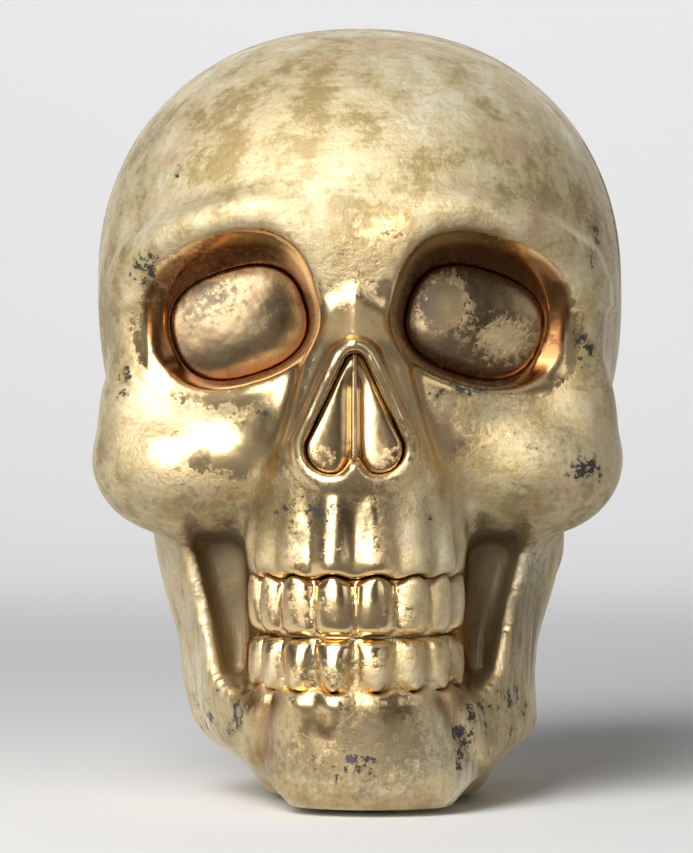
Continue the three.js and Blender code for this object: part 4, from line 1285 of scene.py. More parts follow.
class Board:
    """A material's node tree, with short ways to add the nodes used here."""

    def __init__(self, name: str) -> None:
        """Start a material with a principled surface.

        Args:
            name: The material's name.
        """
        self.material = bpy.data.materials.new(name)
        self.material.use_nodes = True
        self.tree = self.material.node_tree
        self.surface = next(n for n in self.tree.nodes if n.type == "BSDF_PRINCIPLED")
        self.coordinates = self.tree.nodes.new("ShaderNodeTexCoord").outputs["Object"]

    def put(self, socket: NodeSocket, value: object) -> None:
        """Link an output to a socket, or set the socket to a plain value.

        Args:
            socket: The input.
            value: An output, or a plain value.
        """
        if isinstance(value, NodeSocket):
            self.tree.links.new(value, socket)
        else:
            socket.default_value = value

    def fix(self, **values: object) -> None:
        """Link or set the surface's own sockets, named with underscores for spaces."""
        for name, value in values.items():
            self.put(self.surface.inputs[name.replace("_", " ")], value)

    def stretched(self, scale: Point, turn: Point) -> NodeSocket:
        """Return object coordinates turned, then stretched along each axis.

        Args:
            scale: How many times finer a pattern gets along each axis.
            turn: The turn about each axis, in radians.

        Returns:
            The coordinates.
        """
        node = self.tree.nodes.new("ShaderNodeMapping")
        node.inputs["Scale"].default_value = scale
        node.inputs["Rotation"].default_value = turn
        self.put(node.inputs["Vector"], self.coordinates)
        return node.outputs["Vector"]

    def noise(self, grain: Grain) -> NodeSocket:
        """Return a noise value on the object's own coordinates.

        Args:
            grain: The noise's sizes.

        Returns:
            The noise's output.
        """
        vector = self.stretched(grain.stretch, grain.turn) if grain.stretch else self.coordinates
        node = self.tree.nodes.new("ShaderNodeTexNoise")
        node.inputs["Scale"].default_value = 1 / (grain.size * MM)
        node.inputs["Detail"].default_value = grain.detail
        node.inputs["Roughness"].default_value = grain.rough
        self.put(node.inputs["Vector"], vector)
        return node.outputs["Fac"]

    def attribute(self, layer: Layer) -> NodeSocket:
        """Return one of the leaf's layers.

        Args:
            layer: The layer.

        Returns:
            Its value.
        """
        node = self.tree.nodes.new("ShaderNodeAttribute")
        node.attribute_name = layer.value
        return node.outputs["Fac"]

    def math(self, operation: str, a: object, b: object = 0.0, c: object = 0.0) -> NodeSocket:
        """Return the result of a math node.

        Args:
            operation: What the node does.
            a: Its first input.
            b: Its second input.
            c: Its third input.

        Returns:
            The result.
        """
        node = self.tree.nodes.new("ShaderNodeMath")
        node.operation = operation
        for socket, value in zip(node.inputs, (a, b, c)):
            self.put(socket, value)
        return node.outputs["Value"]

    def span(self, value: object, ramp: Ramp) -> NodeSocket:
        """Return a value moved from one range to another with soft ends.

        Args:
            value: The value that is moved.
            ramp: The two ranges.

        Returns:
            The moved value.
        """
        node = self.tree.nodes.new("ShaderNodeMapRange")
        node.interpolation_type = "SMOOTHSTEP"
        ends = {"From Min": ramp.low, "From Max": ramp.high, "To Min": ramp.to_low, "To Max": ramp.to_high}
        for name, number in ends.items():
            node.inputs[name].default_value = number
        self.put(node.inputs["Value"], value)
        return node.outputs["Result"]

    def blend(self, part: object, a: object, b: object) -> NodeSocket:
        """Return a colour that lies a part of the way from a to b.

        Args:
            part: How far, from 0 to 1.
            a: The colour at 0.
            b: The colour at 1.

        Returns:
            The colour.
        """
        node = self.tree.nodes.new("ShaderNodeMix")
        node.data_type = "RGBA"
        for socket, value in ((node.inputs[0], part), (node.inputs[6], a), (node.inputs[7], b)):
            plain = isinstance(value, tuple)
            self.put(socket, (*value, 1.0) if plain else value)
        return node.outputs[2]

    def between(self, part: object, a: object, b: object) -> NodeSocket:
        """Return a number that lies a part of the way from a to b.

        Args:
            part: How far, from 0 to 1.
            a: The number at 0.
            b: The number at 1.

        Returns:
            The number.
        """
        node = self.tree.nodes.new("ShaderNodeMix")
        for socket, value in zip(node.inputs[:1] + node.inputs[2:4], (part, a, b)):
            self.put(socket, value)
        return node.outputs[0]

    def bump(self, height: object, deep: float, after: object = None) -> NodeSocket:
        """Return a normal with small relief.

        Args:
            height: The relief, from 0 to 1.
            deep: How high 1 stands, in millimetres.
            after: A normal that this relief is added to.

        Returns:
            The normal.
        """
        node = self.tree.nodes.new("ShaderNodeBump")
        node.inputs["Strength"].default_value = 1.0
        node.inputs["Distance"].default_value = deep * MM
        self.put(node.inputs["Height"], height)
        if after is not None:
            self.put(node.inputs["Normal"], after)
        return node.outputs["Normal"]


@dataclass(frozen=True)
class GoldLeaf:
    """Gold leaf over black: mirror-bright in places, rubbed to a pale frost in others, and flaked."""

    name: str
    bright: Colour = (0.84, 0.61, 0.31)
    # deep is the colour of the painted shade in recesses.
    deep: Colour = (0.24, 0.085, 0.018)
    cream: Colour = (0.85, 0.77, 0.56)
    pale: Colour = (0.72, 0.60, 0.36)
    olive: Colour = (0.45, 0.34, 0.15)
    rose: Colour = (0.68, 0.49, 0.30)
    # The colour of the patina, which is also laid as painted shade.
    patina_and_shade: Colour = (0.19, 0.138, 0.066)
    undercoat: Colour = (0.035, 0.028, 0.024)
    bright_roughness: float = 0.25
    frost_roughness: float = 0.6
    bare_roughness: float = 0.55
    rough_swing: tuple[float, ...] = (0.16, 0.12)
    frost_metal: float = 0.84
    coat: float = 0.3
    coat_roughness: float = 0.2
    cloud: Grain = Grain(30, 5, 0.6)
    blotch: Grain = Grain(9, 6, 0.66, (1.0, 1.0, 0.7), (0.0, 0.6, 0.0))
    speck: Grain = Grain(2.2, 6, 0.74)
    hair: Grain = Grain(1.1, 3, 0.6, (0.1, 0.5, 1.0), (0.0, 0.45, 0.0))
    brushed: Grain = Grain(1.0, 4, 0.6, (0.5, 0.5, 0.05))
    flush: Grain = Grain(19, 5, 0.6)
    glint: Grain = Grain(0.9, 3, 0.6)
    chip: Grain = Grain(4.4, 9, 0.74)
    pit: Grain = Grain(2.0, 1, 0.5)
    dent: Grain = Grain(13, 3, 0.5)
    frost_swing: tuple[float, ...] = (1.2, 0.4, 0.5)
    frost_ramp: Ramp = Ramp(0.16, 0.86)
    tone_swing: tuple[float, ...] = (2.0, 1.9, 1.0, 0.5)
    pale_ramp: Ramp = Ramp(0.12, 0.62)
    cream_ramp: Ramp = Ramp(0.58, 1.0)
    flush_ramp: Ramp = Ramp(0.55, 0.70, 0, 0.65)
    glint_ramp: Ramp = Ramp(0.55, 0.75, 0, 0.3)
    # How the patina and its painted shade swing and ramp in.
    patina_and_shade_swing: tuple[float, ...] = (1.7, 1.1)
    patina_and_shade_ramp: Ramp = Ramp(0.15, 0.9, 0, 0.85)
    # How the painted recess shade ramps in.
    recess_shade_ramp: Ramp = Ramp(0.12, 0.55, 0, 0.94)
    chip_wear: float = 0.42
    chip_swing: tuple[float, ...] = (0.22,)
    bare_ramp: Ramp = Ramp(0.765, 0.79)
    tired_ramp: Ramp = Ramp(0.64, 0.79, 0, 0.6)
    pit_ramp: Ramp = Ramp(0.765, 0.80, 0, 0.6)
    dent_depth: float = 0.5
    grain_depth: float = 0.34
    chip_depth: float = 0.12

    def swing(
        self, board: Board, strengths: tuple[float, ...], noises: tuple[NodeSocket, ...], start: object
    ) -> NodeSocket:
        """Return a value moved up and down by noises, each with its own strength.

        Args:
            board: The material's nodes.
            strengths: How strongly each noise moves the value.
            noises: The noises.
            start: The value that is moved.

        Returns:
            The moved value.
        """
        value = start
        for strength, noise in zip(strengths, noises):
            value = board.math("MULTIPLY_ADD", board.math("SUBTRACT", noise, NOISE_MIDDLE), strength, value)
        return value

    def material(self) -> Material:
        """Lay the frost, the tones, the patina with its painted shade, the painted shade of the recesses and
        the flakes of the leaf over one another.

        Returns:
            The material.
        """
        board = Board(self.name)
        cloud, blotch, speck = (board.noise(grain) for grain in (self.cloud, self.blotch, self.speck))
        hair, brushed = board.noise(self.hair), board.noise(self.brushed)
        grain = board.between(board.attribute(Layer.STREAK), speck, brushed)
        frost = self.swing(board, self.frost_swing, (grain, cloud, blotch), board.attribute(Layer.FROST))
        frost = board.span(frost, self.frost_ramp)
        tone = self.swing(board, self.tone_swing, (cloud, blotch, grain, hair), NOISE_MIDDLE)
        leaf = board.blend(board.span(tone, self.pale_ramp), self.olive, self.pale)
        leaf = board.blend(board.span(tone, self.cream_ramp), leaf, self.cream)
        leaf = board.blend(board.span(board.noise(self.flush), self.flush_ramp), leaf, self.rose)
        shine = board.blend(board.span(board.noise(self.glint), self.glint_ramp), self.bright, self.pale)
        colour = board.blend(frost, shine, leaf)
        # Patina mixed with painted shade, swung by the grain and the blotches.
        dull = self.swing(board, self.patina_and_shade_swing, (grain, blotch), board.attribute(Layer.PATINA_AND_SHADE))
        colour = board.blend(board.span(dull, self.patina_and_shade_ramp), colour, self.patina_and_shade)
        # Painted shade: recesses darken towards the deep colour.
        recess_shade = board.span(board.attribute(Layer.RECESS_SHADE), self.recess_shade_ramp)
        colour = board.blend(recess_shade, colour, self.deep)
        wear = board.attribute(Layer.WEAR)
        score = board.math("MULTIPLY_ADD", wear, self.chip_wear, board.noise(self.chip))
        score = self.swing(board, self.chip_swing, (grain,), score)
        bare, tired = board.span(score, self.bare_ramp), board.span(score, self.tired_ramp)
        pits = board.span(board.noise(self.pit), self.pit_ramp)
        colour = board.blend(board.math("MAXIMUM", tired, pits), colour, self.olive)
        board.fix(Base_Color=board.blend(bare, colour, self.undercoat))
        board.fix(Metallic=board.between(bare, board.between(frost, 1.0, self.frost_metal), 0.0))
        rough = board.between(frost, self.bright_roughness, self.frost_roughness)
        rough = self.swing(board, self.rough_swing, (speck, blotch), rough)
        board.fix(Roughness=board.between(bare, rough, self.bare_roughness))
        board.fix(Coat_Weight=self.coat, Coat_Roughness=self.coat_roughness)
        relief = board.bump(board.noise(self.dent), self.dent_depth)
        relief = board.bump(board.math("MULTIPLY", grain, frost), self.grain_depth, relief)
        relief = board.bump(board.math("MULTIPLY", bare, -1.0), self.chip_depth, relief)
        board.fix(Normal=relief)
        return board.material


@dataclass(frozen=True)
class MouldedPlastic:
    """Black moulded plastic with a fine eroded grain."""

    name: str = "moulded_plastic"
    dark: Colour = (0.012, 0.011, 0.010)
    light: Colour = (0.030, 0.028, 0.026)
    grain: Grain = Grain(0.8, 4, 0.6)
    cloud: Grain = Grain(9, 5, 0.6)
    roughness: Ramp = Ramp(0.3, 0.7, 0.45, 0.62)
    grain_depth: float = 0.05

    def material(self) -> Material:
        """Give the plastic its clouded black and its grain.

        Returns:
            The material.
        """
        board = Board(self.name)
        grain = board.noise(self.grain)
        board.fix(Base_Color=board.blend(board.noise(self.cloud), self.dark, self.light))
        board.fix(Roughness=board.span(grain, self.roughness), Normal=board.bump(grain, self.grain_depth))
        return board.material


@dataclass(frozen=True)
class ZincSteel:
    """Zinc-plated screw steel with turning marks."""

    name: str = "zinc_steel"
    bright: Colour = (0.70, 0.70, 0.67)
    dull: Colour = (0.42, 0.42, 0.40)
    mark: Grain = Grain(0.5, 3, 0.5, (0.4, 0.4, 3.0))
    roughness: Ramp = Ramp(0.3, 0.7, 0.28, 0.42)
    mark_depth: float = 0.02

    def material(self) -> Material:
        """Give the steel its turning marks.

        Returns:
            The material.
        """
        board = Board(self.name)
        marks = board.noise(self.mark)
        board.fix(Base_Color=board.blend(marks, self.dull, self.bright), Metallic=1.0)
        board.fix(Roughness=board.span(marks, self.roughness), Normal=board.bump(marks, self.mark_depth))
        return board.material


@dataclass(frozen=True)
class GreyFelt:
    """Pressed felt with loose fibres."""

    name: str = "grey_felt"
    dark: Colour = (0.025, 0.024, 0.023)
    light: Colour = (0.085, 0.082, 0.078)
    fibre: Grain = Grain(0.6, 6, 0.7)
    fibre_ramp: Ramp = Ramp(0.3, 0.7)
    fibre_depth: float = 0.18
    roughness: float = 0.95
    sheen: float = 0.25

    def material(self) -> Material:
        """Give the felt its fibres.

        Returns:
            The material.
        """
        board = Board(self.name)
        fibre = board.noise(self.fibre)
        board.fix(Base_Color=board.blend(board.span(fibre, self.fibre_ramp), self.dark, self.light))
        board.fix(Normal=board.bump(fibre, self.fibre_depth))
        board.fix(Roughness=self.roughness, Sheen_Weight=self.sheen)
        return board.material


@contextmanager
def edited(mesh: Mesh) -> Iterator[BMesh]:
    """Open a mesh for operators, and write it back when they are done.

    Args:
        mesh: The mesh, which is empty where it is new.

    Yields:
        The open mesh.
    """
    bm = bmesh.new()
    bm.from_mesh(mesh)
    yield bm
    bm.to_mesh(mesh)
    bm.free()


def stand(name: str, data: bpy.types.ID) -> Object:
    """Return a new object that is linked to the scene.

    Args:
        name: The object's name.
        data: Its mesh, light or camera.

    Returns:
        The object.
    """
    made = bpy.data.objects.new(name, data)
    bpy.context.scene.collection.objects.link(made)
    return made


@dataclass
class Workshop:
    """What every piece needs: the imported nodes, the form and the place of its frame."""

    nodes: dict[str, Object]
    form: SkullForm
    shift: Vector
    leaf: LeafMap
    low: Array
    high: Array
    blur_rounds: int = 3
    foot_high: float = 7
    foot_facing: float = 0.2
    foot_wall: float = 4.2
    foot_gap: float = 2.2
    foot_node: str = "cranium_shell"
    foot_block: Point = (-21.4, 9, 4.2)
    foot_block_size: Point = (3.2, 20, 4.8)
    foot_edge: float = 5
    foot_cuts: int = 5

    def adopt(self, mesh: Mesh, name: str, node: str, slot: Slot, material: Material) -> Object:
        """Make a mesh a piece that stands for a node.

        Args:
            mesh: The piece's mesh, in metres.
            name: The piece's name.
            node: The node that it replaces.
            slot: Not used.
            material: Its material.

        Returns:
            The piece.
        """
        piece = stand(name, mesh)
        mesh.materials.clear()
        mesh.materials.append(material)
        mesh.shade_smooth()
        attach(piece, BODY)
        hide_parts(node)
        return piece

    def skin(self, node: str, voxel: float) -> Mesh:
        """Return an even quad skin over a node's solid.

        Args:
            node: The node to copy.
            voxel: The size of the skin's faces.

        Returns:
            The skin, in metres.
        """
        mesh = self.merged(node)
        self.inset(mesh, -1, self.foot_wall)
        if node == self.foot_node:
            self.close(mesh)
        scratch = stand("scratch", mesh)
        remesh = scratch.modifiers.new("skin", "REMESH")
        remesh.mode = "VOXEL"
        remesh.voxel_size = voxel * MM
        remesh.adaptivity = 0
        ready = scratch.evaluated_get(bpy.context.evaluated_depsgraph_get())
        skin = bpy.data.meshes.new_from_object(ready)
        bpy.data.objects.remove(scratch)
        bpy.data.meshes.remove(mesh)
        return skin

    def merged(self, node: str) -> Mesh:
        """Return a copy of a node's mesh with its triangles joined and the foot's long edges split.

        Args:
            node: The node to copy.

        Returns:
            The copy, in metres.
        """
        mesh = self.nodes[node].data.copy()
        with edited(mesh) as bm:
            bmesh.ops.remove_doubles(bm, verts=bm.verts, dist=TINY)
            low = [e for e in bm.edges if all(v.co.z < self.foot_high * MM for v in e.verts)]
            long = [e for e in low if e.calc_length() > self.foot_edge * MM]
            bmesh.ops.subdivide_edges(bm, edges=long, cuts=self.foot_cuts)
        return mesh

    def close(self, mesh: Mesh) -> None:
        """Close the rim of the foot with a block behind it, where the plate's recess cuts through it.

        Args:
            mesh: The mesh, in metres.
        """
        place = Matrix.Translation(Vector(self.foot_block) * MM)
        size = Matrix.Diagonal((*(v * MM for v in self.foot_block_size), 1))
        with edited(mesh) as bm:
            bmesh.ops.create_cube(bm, size=1, matrix=place @ size)

    def inset(self, mesh: Mesh, outward: int, wall: float) -> None:
        """Move the foot's upright faces inwards where they lie too near the outside.

        Args:
            mesh: The mesh, in metres.
            outward: 1 for faces that point out and -1 for faces that point in.
            wall: The least depth below the outside.
        """
        points, normals = self.points(mesh)
        raised = points.copy()
        raised[:, 2] = np.maximum(raised[:, 2], self.foot_high)
        d, gradient = slope(self.form.distance, raised)
        level = gradient * (1, 1, 0)
        level /= np.maximum(np.linalg.norm(level, axis=1), TINY)[:, None]
        chosen = (points[:, 2] < self.foot_high) & (outward * (normals * level).sum(1) > self.foot_facing)
        points -= (np.maximum(wall + d, 0) * chosen)[:, None] * level
        self.place(mesh, points)

    def points(self, mesh: Mesh) -> tuple[Array, Array]:
        """Return a mesh's points in the skull's own frame, and its normals.

        Args:
            mesh: The mesh, in metres.

        Returns:
            The points in millimetres and the normals, one row for each.
        """
        co = np.empty(len(mesh.vertices) * 3)
        mesh.vertices.foreach_get("co", co)
        normals = np.empty(len(mesh.vertices) * 3, np.float32)
        mesh.vertex_normals.foreach_get("vector", normals)
        return co.reshape(-1, 3) / MM - np.array(self.shift), normals.reshape(-1, 3).astype(float)

    def place(self, mesh: Mesh, points: Array) -> None:
        """Move a mesh's points to places in the skull's own frame, inside the solids' box.

        Args:
            mesh: The mesh, in metres.
            points: One row for each point, in millimetres.
        """
        held = np.clip((points + np.array(self.shift)) * MM, self.low, self.high)
        mesh.vertices.foreach_set("co", held.ravel())
        mesh.update()

    def gild(self, mesh: Mesh, inside: bool) -> None:
        """Write the leaf's layers on a mesh.

        Args:
            mesh: The mesh, in metres.
            inside: Whether the piece sits inside a recess.
        """
        points, normals = self.points(mesh)
        layers = self.leaf.layers(points, normals, inside)
        values = np.stack(list(layers.values()), axis=1)
        for _ in range(self.blur_rounds):
            values = relax(mesh, values, np.ones(len(points), bool))
        for layer, column in zip(layers, values.T):
            attribute = mesh.attributes.new(layer.value, "FLOAT", "POINT")
            attribute.data.foreach_set("value", column.astype(np.float32))


@dataclass
class SkullShells:
    """The face shell and the cranium shell, skinned finely and settled on the skull's form."""

    shop: Workshop
    finish: GoldLeaf = GoldLeaf("gold_leaf")
    voxel: float = 1.7
    cranium_voxel: float = 1.9
    reach: float = 3.2
    rounds: int = 4
    settle_rounds: int = 3
    outer_reach: float = 4
    outer_facing: float = 0.2
    edge_reach: float = 1.8
    edge_facing: float = -0.7
    edge_back: float = -28
    seam_gap: float = 0.4
    seam_margin: float = 0.3
    seam_reach: float = 4
    seam_low: float = 60
    beyond: float = 200
    fine_back: float = -44
    fine_low: float = 12
    fine_high: float = 166
    jaw_back: float = -24
    jaw_high: float = 90
    jaw_inner: float = 28
    ridge_inner: float = 36
    ridge_back: float = -34
    ridge_facing: float = -0.3
    ridge_rounds: int = 14
    face_bend: float = 0.017
    bend_rounds: int = 4

    def refine(self, mesh: Mesh, wanted: Callable[[Array, Array], Array], least_bend: float = 0.0) -> None:
        """Split the faces of a mesh that need finer shape.

        Args:
            mesh: The mesh, in metres.
            wanted: Says for each point and normal whether it is refined.
            least_bend: How strongly the surface bends where it is refined.
        """
        points, normals = self.shop.points(mesh)
        everywhere = np.ones(len(points), bool)
        bend = np.linalg.norm(normals - relax(mesh, normals, everywhere, 1.0), axis=1)[:, None]
        for _ in range(self.bend_rounds):
            bend = relax(mesh, bend, everywhere)
        chosen = wanted(points, normals) & (bend[:, 0] >= least_bend)
        with edited(mesh) as bm:
            edges = [e for e in bm.edges if all(chosen[v.index] for v in e.verts)]
            bmesh.ops.subdivide_edges(bm, edges=edges, cuts=1, use_grid_fill=True)

    def on_face(self, points: Array, normals: Array) -> Array:
        """Return which points lie on the visible side of the face or beside the seam.

        Args:
            points: One row for each point.
            normals: The surface's normals there.

        Returns:
            Whether each point is among them.
        """
        d, gradient = slope(self.shop.form.distance, points)
        outer = ((normals * gradient).sum(1) > 0) & (np.abs(d) < self.outer_reach)
        x, y, z = points.T
        front = (y < self.fine_back) & (z > self.fine_low) & (z < self.fine_high)
        jaw = (y < self.jaw_back) & (z > self.fine_low) & (z < self.jaw_high) & (np.abs(x) > self.jaw_inner)
        return outer & (front | jaw | self.by_seam(points))

    def on_ridge(self, points: Array, normals: Array) -> Array:
        """Return which points lie on the narrow front edge of the jaw's wall.

        Args:
            points: One row for each point.
            normals: The surface's normals there.

        Returns:
            Whether each point is among them.
        """
        x, y, z = points.T
        ahead = (normals[:, 1] < self.ridge_facing) & (y < self.ridge_back)
        return ahead & (z > self.fine_low) & (z < self.jaw_high) & (np.abs(x) > self.ridge_inner)

    def on_back(self, points: Array, normals: Array) -> Array:
        """Return which points of the cranium shell lie beside the seam."""
        return self.by_seam(points) & (points[:, 1] > self.shop.form.seam_y)

    def by_seam(self, points: Array) -> Array:
        """Return which points lie beside the seam."""
        beside = np.abs(points[:, 1] - self.shop.form.seam_y) < self.seam_reach
        return beside & (points[:, 2] > self.seam_low)

    def shape(self, mesh: Mesh, keep: Callable[[Array], Array], low_y: float, high_y: float) -> None:
        """Settle a shell's outer points on the skull's form.

        Args:
            mesh: The shell's skin, in metres.
            keep: Says which points may move.
            low_y: The furthest forward that a point may go.
            high_y: The furthest back that a point may go.
        """
        points, normals = self.shop.points(mesh)
        d, gradient = slope(self.shop.form.distance, points)
        steep = np.linalg.norm(gradient, axis=1)
        facing = (normals * gradient).sum(1) / np.maximum(steep, TINY)
        near = (np.abs(d) < self.edge_reach) & (facing > self.edge_facing) & (points[:, 1] < self.edge_back)
        outer = ((facing > self.outer_facing) & (np.abs(d) < self.reach) | near) & keep(points)
        moved = points.copy()
        for _ in range(self.rounds):
            moved[outer] = settle(self.shop.form.distance, moved[outer], self.reach, self.settle_rounds)
            moved = relax(mesh, moved, outer)
        moved[outer] = settle(self.shop.form.distance, moved[outer], self.reach)
        moved[:, 1] = np.clip(moved[:, 1], low_y, high_y)
        self.shop.place(mesh, moved)

    def soften(self, mesh: Mesh) -> None:
        """Round the narrow front edge of the jaw's wall.

        Args:
            mesh: The mesh, in metres.
        """
        points, normals = self.shop.points(mesh)
        ridge = self.on_ridge(points, normals)
        for _ in range(self.ridge_rounds):
            points = relax(mesh, points, ridge)
        self.shop.place(mesh, points)

    def build(self) -> list[Object]:
        """Skin, refine and settle the two shells, and lay their leaf.

        Returns:
            The pieces.
        """
        material = self.finish.material()
        seam, gap = self.shop.form.seam_y, self.seam_gap / 2
        face = self.shop.skin("face_shell", self.voxel)
        self.refine(face, self.on_face, self.face_bend)
        self.refine(face, self.on_ridge)
        self.shape(face, lambda p: p[:, 1] < seam, -self.beyond, seam - gap)
        self.soften(face)
        cranium = self.shop.skin("cranium_shell", self.cranium_voxel)
        self.refine(cranium, self.on_back)
        rear = seam + gap - self.seam_margin
        self.shape(cranium, lambda p: p[:, 1] > rear, -self.beyond, self.beyond)
        pieces = []
        for mesh, node in ((face, "face_shell"), (cranium, "cranium_shell")):
            self.shop.gild(mesh, False)
            pieces.append(self.shop.adopt(mesh, "leafed_" + node, node, Slot.GOLD_LEAF, material))
        return pieces


@dataclass
class ToothRows:
    """The two rows of teeth with rounded crowns."""

    shop: Workshop
    finish: GoldLeaf = GoldLeaf("inset_leaf", bright_roughness=0.21)
    voxel: float = 0.55
    reach: float = 2.4

    def row(self, node: str, upper: bool) -> Mesh:
        """Return one row of teeth.

        Args:
            node: The row's node.
            upper: Whether it is the upper row.

        Returns:
            The row's mesh, in metres.
        """
        mesh = self.shop.skin(node, self.voxel)
        points, _ = self.shop.points(mesh)
        form = ToothRowForm(self.shop.form.arch, upper)
        self.shop.place(mesh, settle(form.distance, points, self.reach))
        self.shop.gild(mesh, True)
        return mesh

    def build(self) -> list[Object]:
        """Shape the two rows of teeth and lay their leaf.

        Returns:
            The pieces.
        """
        material = self.finish.material()
        pieces = []
        for node, upper in (("upper_teeth", True), ("lower_teeth", False)):
            mesh = self.row(node, upper)
            pieces.append(self.shop.adopt(mesh, "crowned_" + node, node, Slot.POLISHED_LEAF, material))
        return pieces


@dataclass
class EyeDiscs:
    """The domed plates at the back of the sockets."""

    shop: Workshop
    # A darker copy of the leaf: painted shade for the discs at the back of the sockets.
    finish: GoldLeaf = GoldLeaf(
        "disc_leaf_painted_shade",
        bright=(0.27, 0.19, 0.10),
        cream=(0.46, 0.39, 0.25),
        pale=(0.38, 0.31, 0.18),
        bright_roughness=0.27,
    )
    thickness: float = 2.4
    dome: float = 2.4
    tilt: float = 0.07
    dome_power: float = 2.3
    edge_round: float = 0.06
    edge_drop: float = 0.6
    joint: float = 0.05
    fit_gap: float = 0.3
    segments: int = 96
    rings: int = 30
    edge_rings: int = 6
    edge_step: float = 0.015
    inner_share: float = 0.87

    def disc(self, side: Side) -> Mesh:
        """Return one disc, shaped from a round plate.

        Args:
            side: The skull's side that it is on.

        Returns:
            The disc's mesh, in metres.
        """
        mesh = bpy.data.meshes.new("disc")
        inner_step = self.inner_share / (self.rings - self.edge_rings)
        with edited(mesh) as bm:
            bmesh.ops.create_circle(bm, segments=self.segments, radius=1, cap_ends=True)
            raised = bmesh.ops.extrude_face_region(bm, geom=list(bm.faces))["geom"]
            bmesh.ops.translate(bm, verts=[v for v in raised if isinstance(v, BMVert)], vec=(0, 0, 1))
            face = next(f for f in raised if isinstance(f, BMFace))
            for ring in range(self.rings):
                step = self.edge_step if ring < self.edge_rings else inner_step
                bmesh.ops.inset_region(bm, faces=[face], thickness=step, use_even_offset=False)
            bmesh.ops.recalc_face_normals(bm, faces=bm.faces)
            for vert in bm.verts:
                vert.co = self.spot(side, vert.co)
            if side is Side.RIGHT:
                bmesh.ops.reverse_faces(bm, faces=bm.faces)
        self.shop.gild(mesh, True)
        return mesh

    def spot(self, side: Side, unit: Vector) -> Vector:
        """Return where a point of the round plate goes.

        Args:
            side: The skull's side that the disc is on.
            unit: The point on the plate, whose radius and thickness are 1.

        Returns:
            The point in metres.
        """
        eyes = self.shop.form.eyes
        edge = -eyes.draft - self.joint
        radius = math.hypot(unit.x, unit.y)
        c, s = (unit.x / radius, unit.y / radius) if radius > TINY else (1.0, 0.0)
        power = 2 / eyes.roundness
        p = math.copysign(abs(c) ** power, c) * (eyes.long / 2 + edge) * radius
        q = math.copysign(abs(s) ** power, s) * (eyes.short / 2 + edge) * radius
        turn, tilt = math.cos(eyes.droop), math.sin(eyes.droop)
        x = p * turn + q * tilt + eyes.x - eyes.shift_in
        z = q * turn - p * tilt + eyes.z - eyes.shift_down
        near = min(1.0, max(0.0, (1 - radius) / self.edge_round))
        dropped = self.edge_drop * (1 - math.sqrt(near * (2 - near)))
        front = self.thickness + self.dome * (1 - radius**self.dome_power) - dropped
        front += self.tilt * (eyes.x - eyes.shift_in - x)
        y = eyes.floor_y - self.fit_gap - (front if unit.z > 0.5 else 0.0)
        return (Vector((side.value * x, y, z)) + self.shop.shift) * MM

    def build(self) -> list[Object]:
        """Shape the two discs and lay their leaf.

        Returns:
            The pieces.
        """
        material = self.finish.material()
        pieces = []
        for side in Side:
            node = side.name.lower() + "_eye_disc"
            mesh = self.disc(side)
            pieces.append(self.shop.adopt(mesh, "domed_" + node, node, Slot.POLISHED_LEAF, material))
        return pieces


@dataclass
class NoseInsert:
    """The two lobes and the septum inside the nose opening."""

    shop: Workshop
    # A darker copy of the leaf: painted shade inside the nose opening.
    finish: GoldLeaf = GoldLeaf("nose_leaf_painted_shade", bright=(0.58, 0.40, 0.20), bright_roughness=0.23)
    voxel: float = 0.3
    skirt: float = 1.4
    rounds: int = 12

    def build(self) -> list[Object]:
        """Skin the insert finely, draw its front out to the panels and lay its leaf.

        Returns:
            The pieces.
        """
        mesh = self.shop.skin("nose_insert", self.voxel)
        form = NoseInsertForm(self.shop.form.nose)
        points, _ = self.shop.points(mesh)
        ahead = points[:, 1] < form.back - self.skirt
        for _ in range(self.rounds):
            points = relax(mesh, points, ahead)
            points[ahead, 1] = form.front(np.abs(points[ahead, 0]), points[ahead, 2])
        self.shop.place(mesh, points)
        self.shop.gild(mesh, True)
        material = self.finish.material()
        return [self.shop.adopt(mesh, "lobed_nose_insert", "nose_insert", Slot.POLISHED_LEAF, material)]


@dataclass
class Base:
    """The base plate, fitted to the skin of the foot, and the screws and felt pads, kept as they are."""

    shop: Workshop
    plastic: MouldedPlastic = MouldedPlastic()
    steel: ZincSteel = ZincSteel()
    felt: GreyFelt = GreyFelt()

    def build(self) -> list[Object]:
        """Fit the plate, and give it and the solids that stay their materials.

        Returns:
            The pieces.
        """
        plate = self.shop.merged("base_plate")
        self.shop.inset(plate, 1, self.shop.foot_wall + self.shop.foot_gap)
        material = self.plastic.material()
        pieces = [self.shop.adopt(plate, "fitted_base_plate", "base_plate", Slot.BASE_PLASTIC, material)]
        plate.shade_flat()
        finishes = {"base_screw": self.steel.material(), "foot_pad": self.felt.material()}
        for name, node in self.shop.nodes.items():
            for start, finish in finishes.items():
                if name.startswith(start):
                    node.data.materials.clear()
                    node.data.materials.append(finish)
                    pieces.append(node)
        return pieces


@dataclass(frozen=True)
class Lamp:
    """A soft area light: where it hangs, its width and height, its power in watts and what it faces."""

    name: str
    place: Point
    size: tuple[float, float]
    power: float
    aim: Point = (0, 0, 110)

    def hang(self) -> None:
        """Add the light to the scene."""
        data = bpy.data.lights.new(self.name, "AREA")
        data.shape = "RECTANGLE"
        data.size, data.size_y = self.size[0] * MM, self.size[1] * MM
        data.energy = self.power
        lamp = stand(self.name, data)
        lamp.location = Vector(self.place) * MM
        lamp.rotation_euler = (Vector(self.aim) - Vector(self.place)).to_track_quat("-Z", "Y").to_euler()
        lamp.visible_camera = False


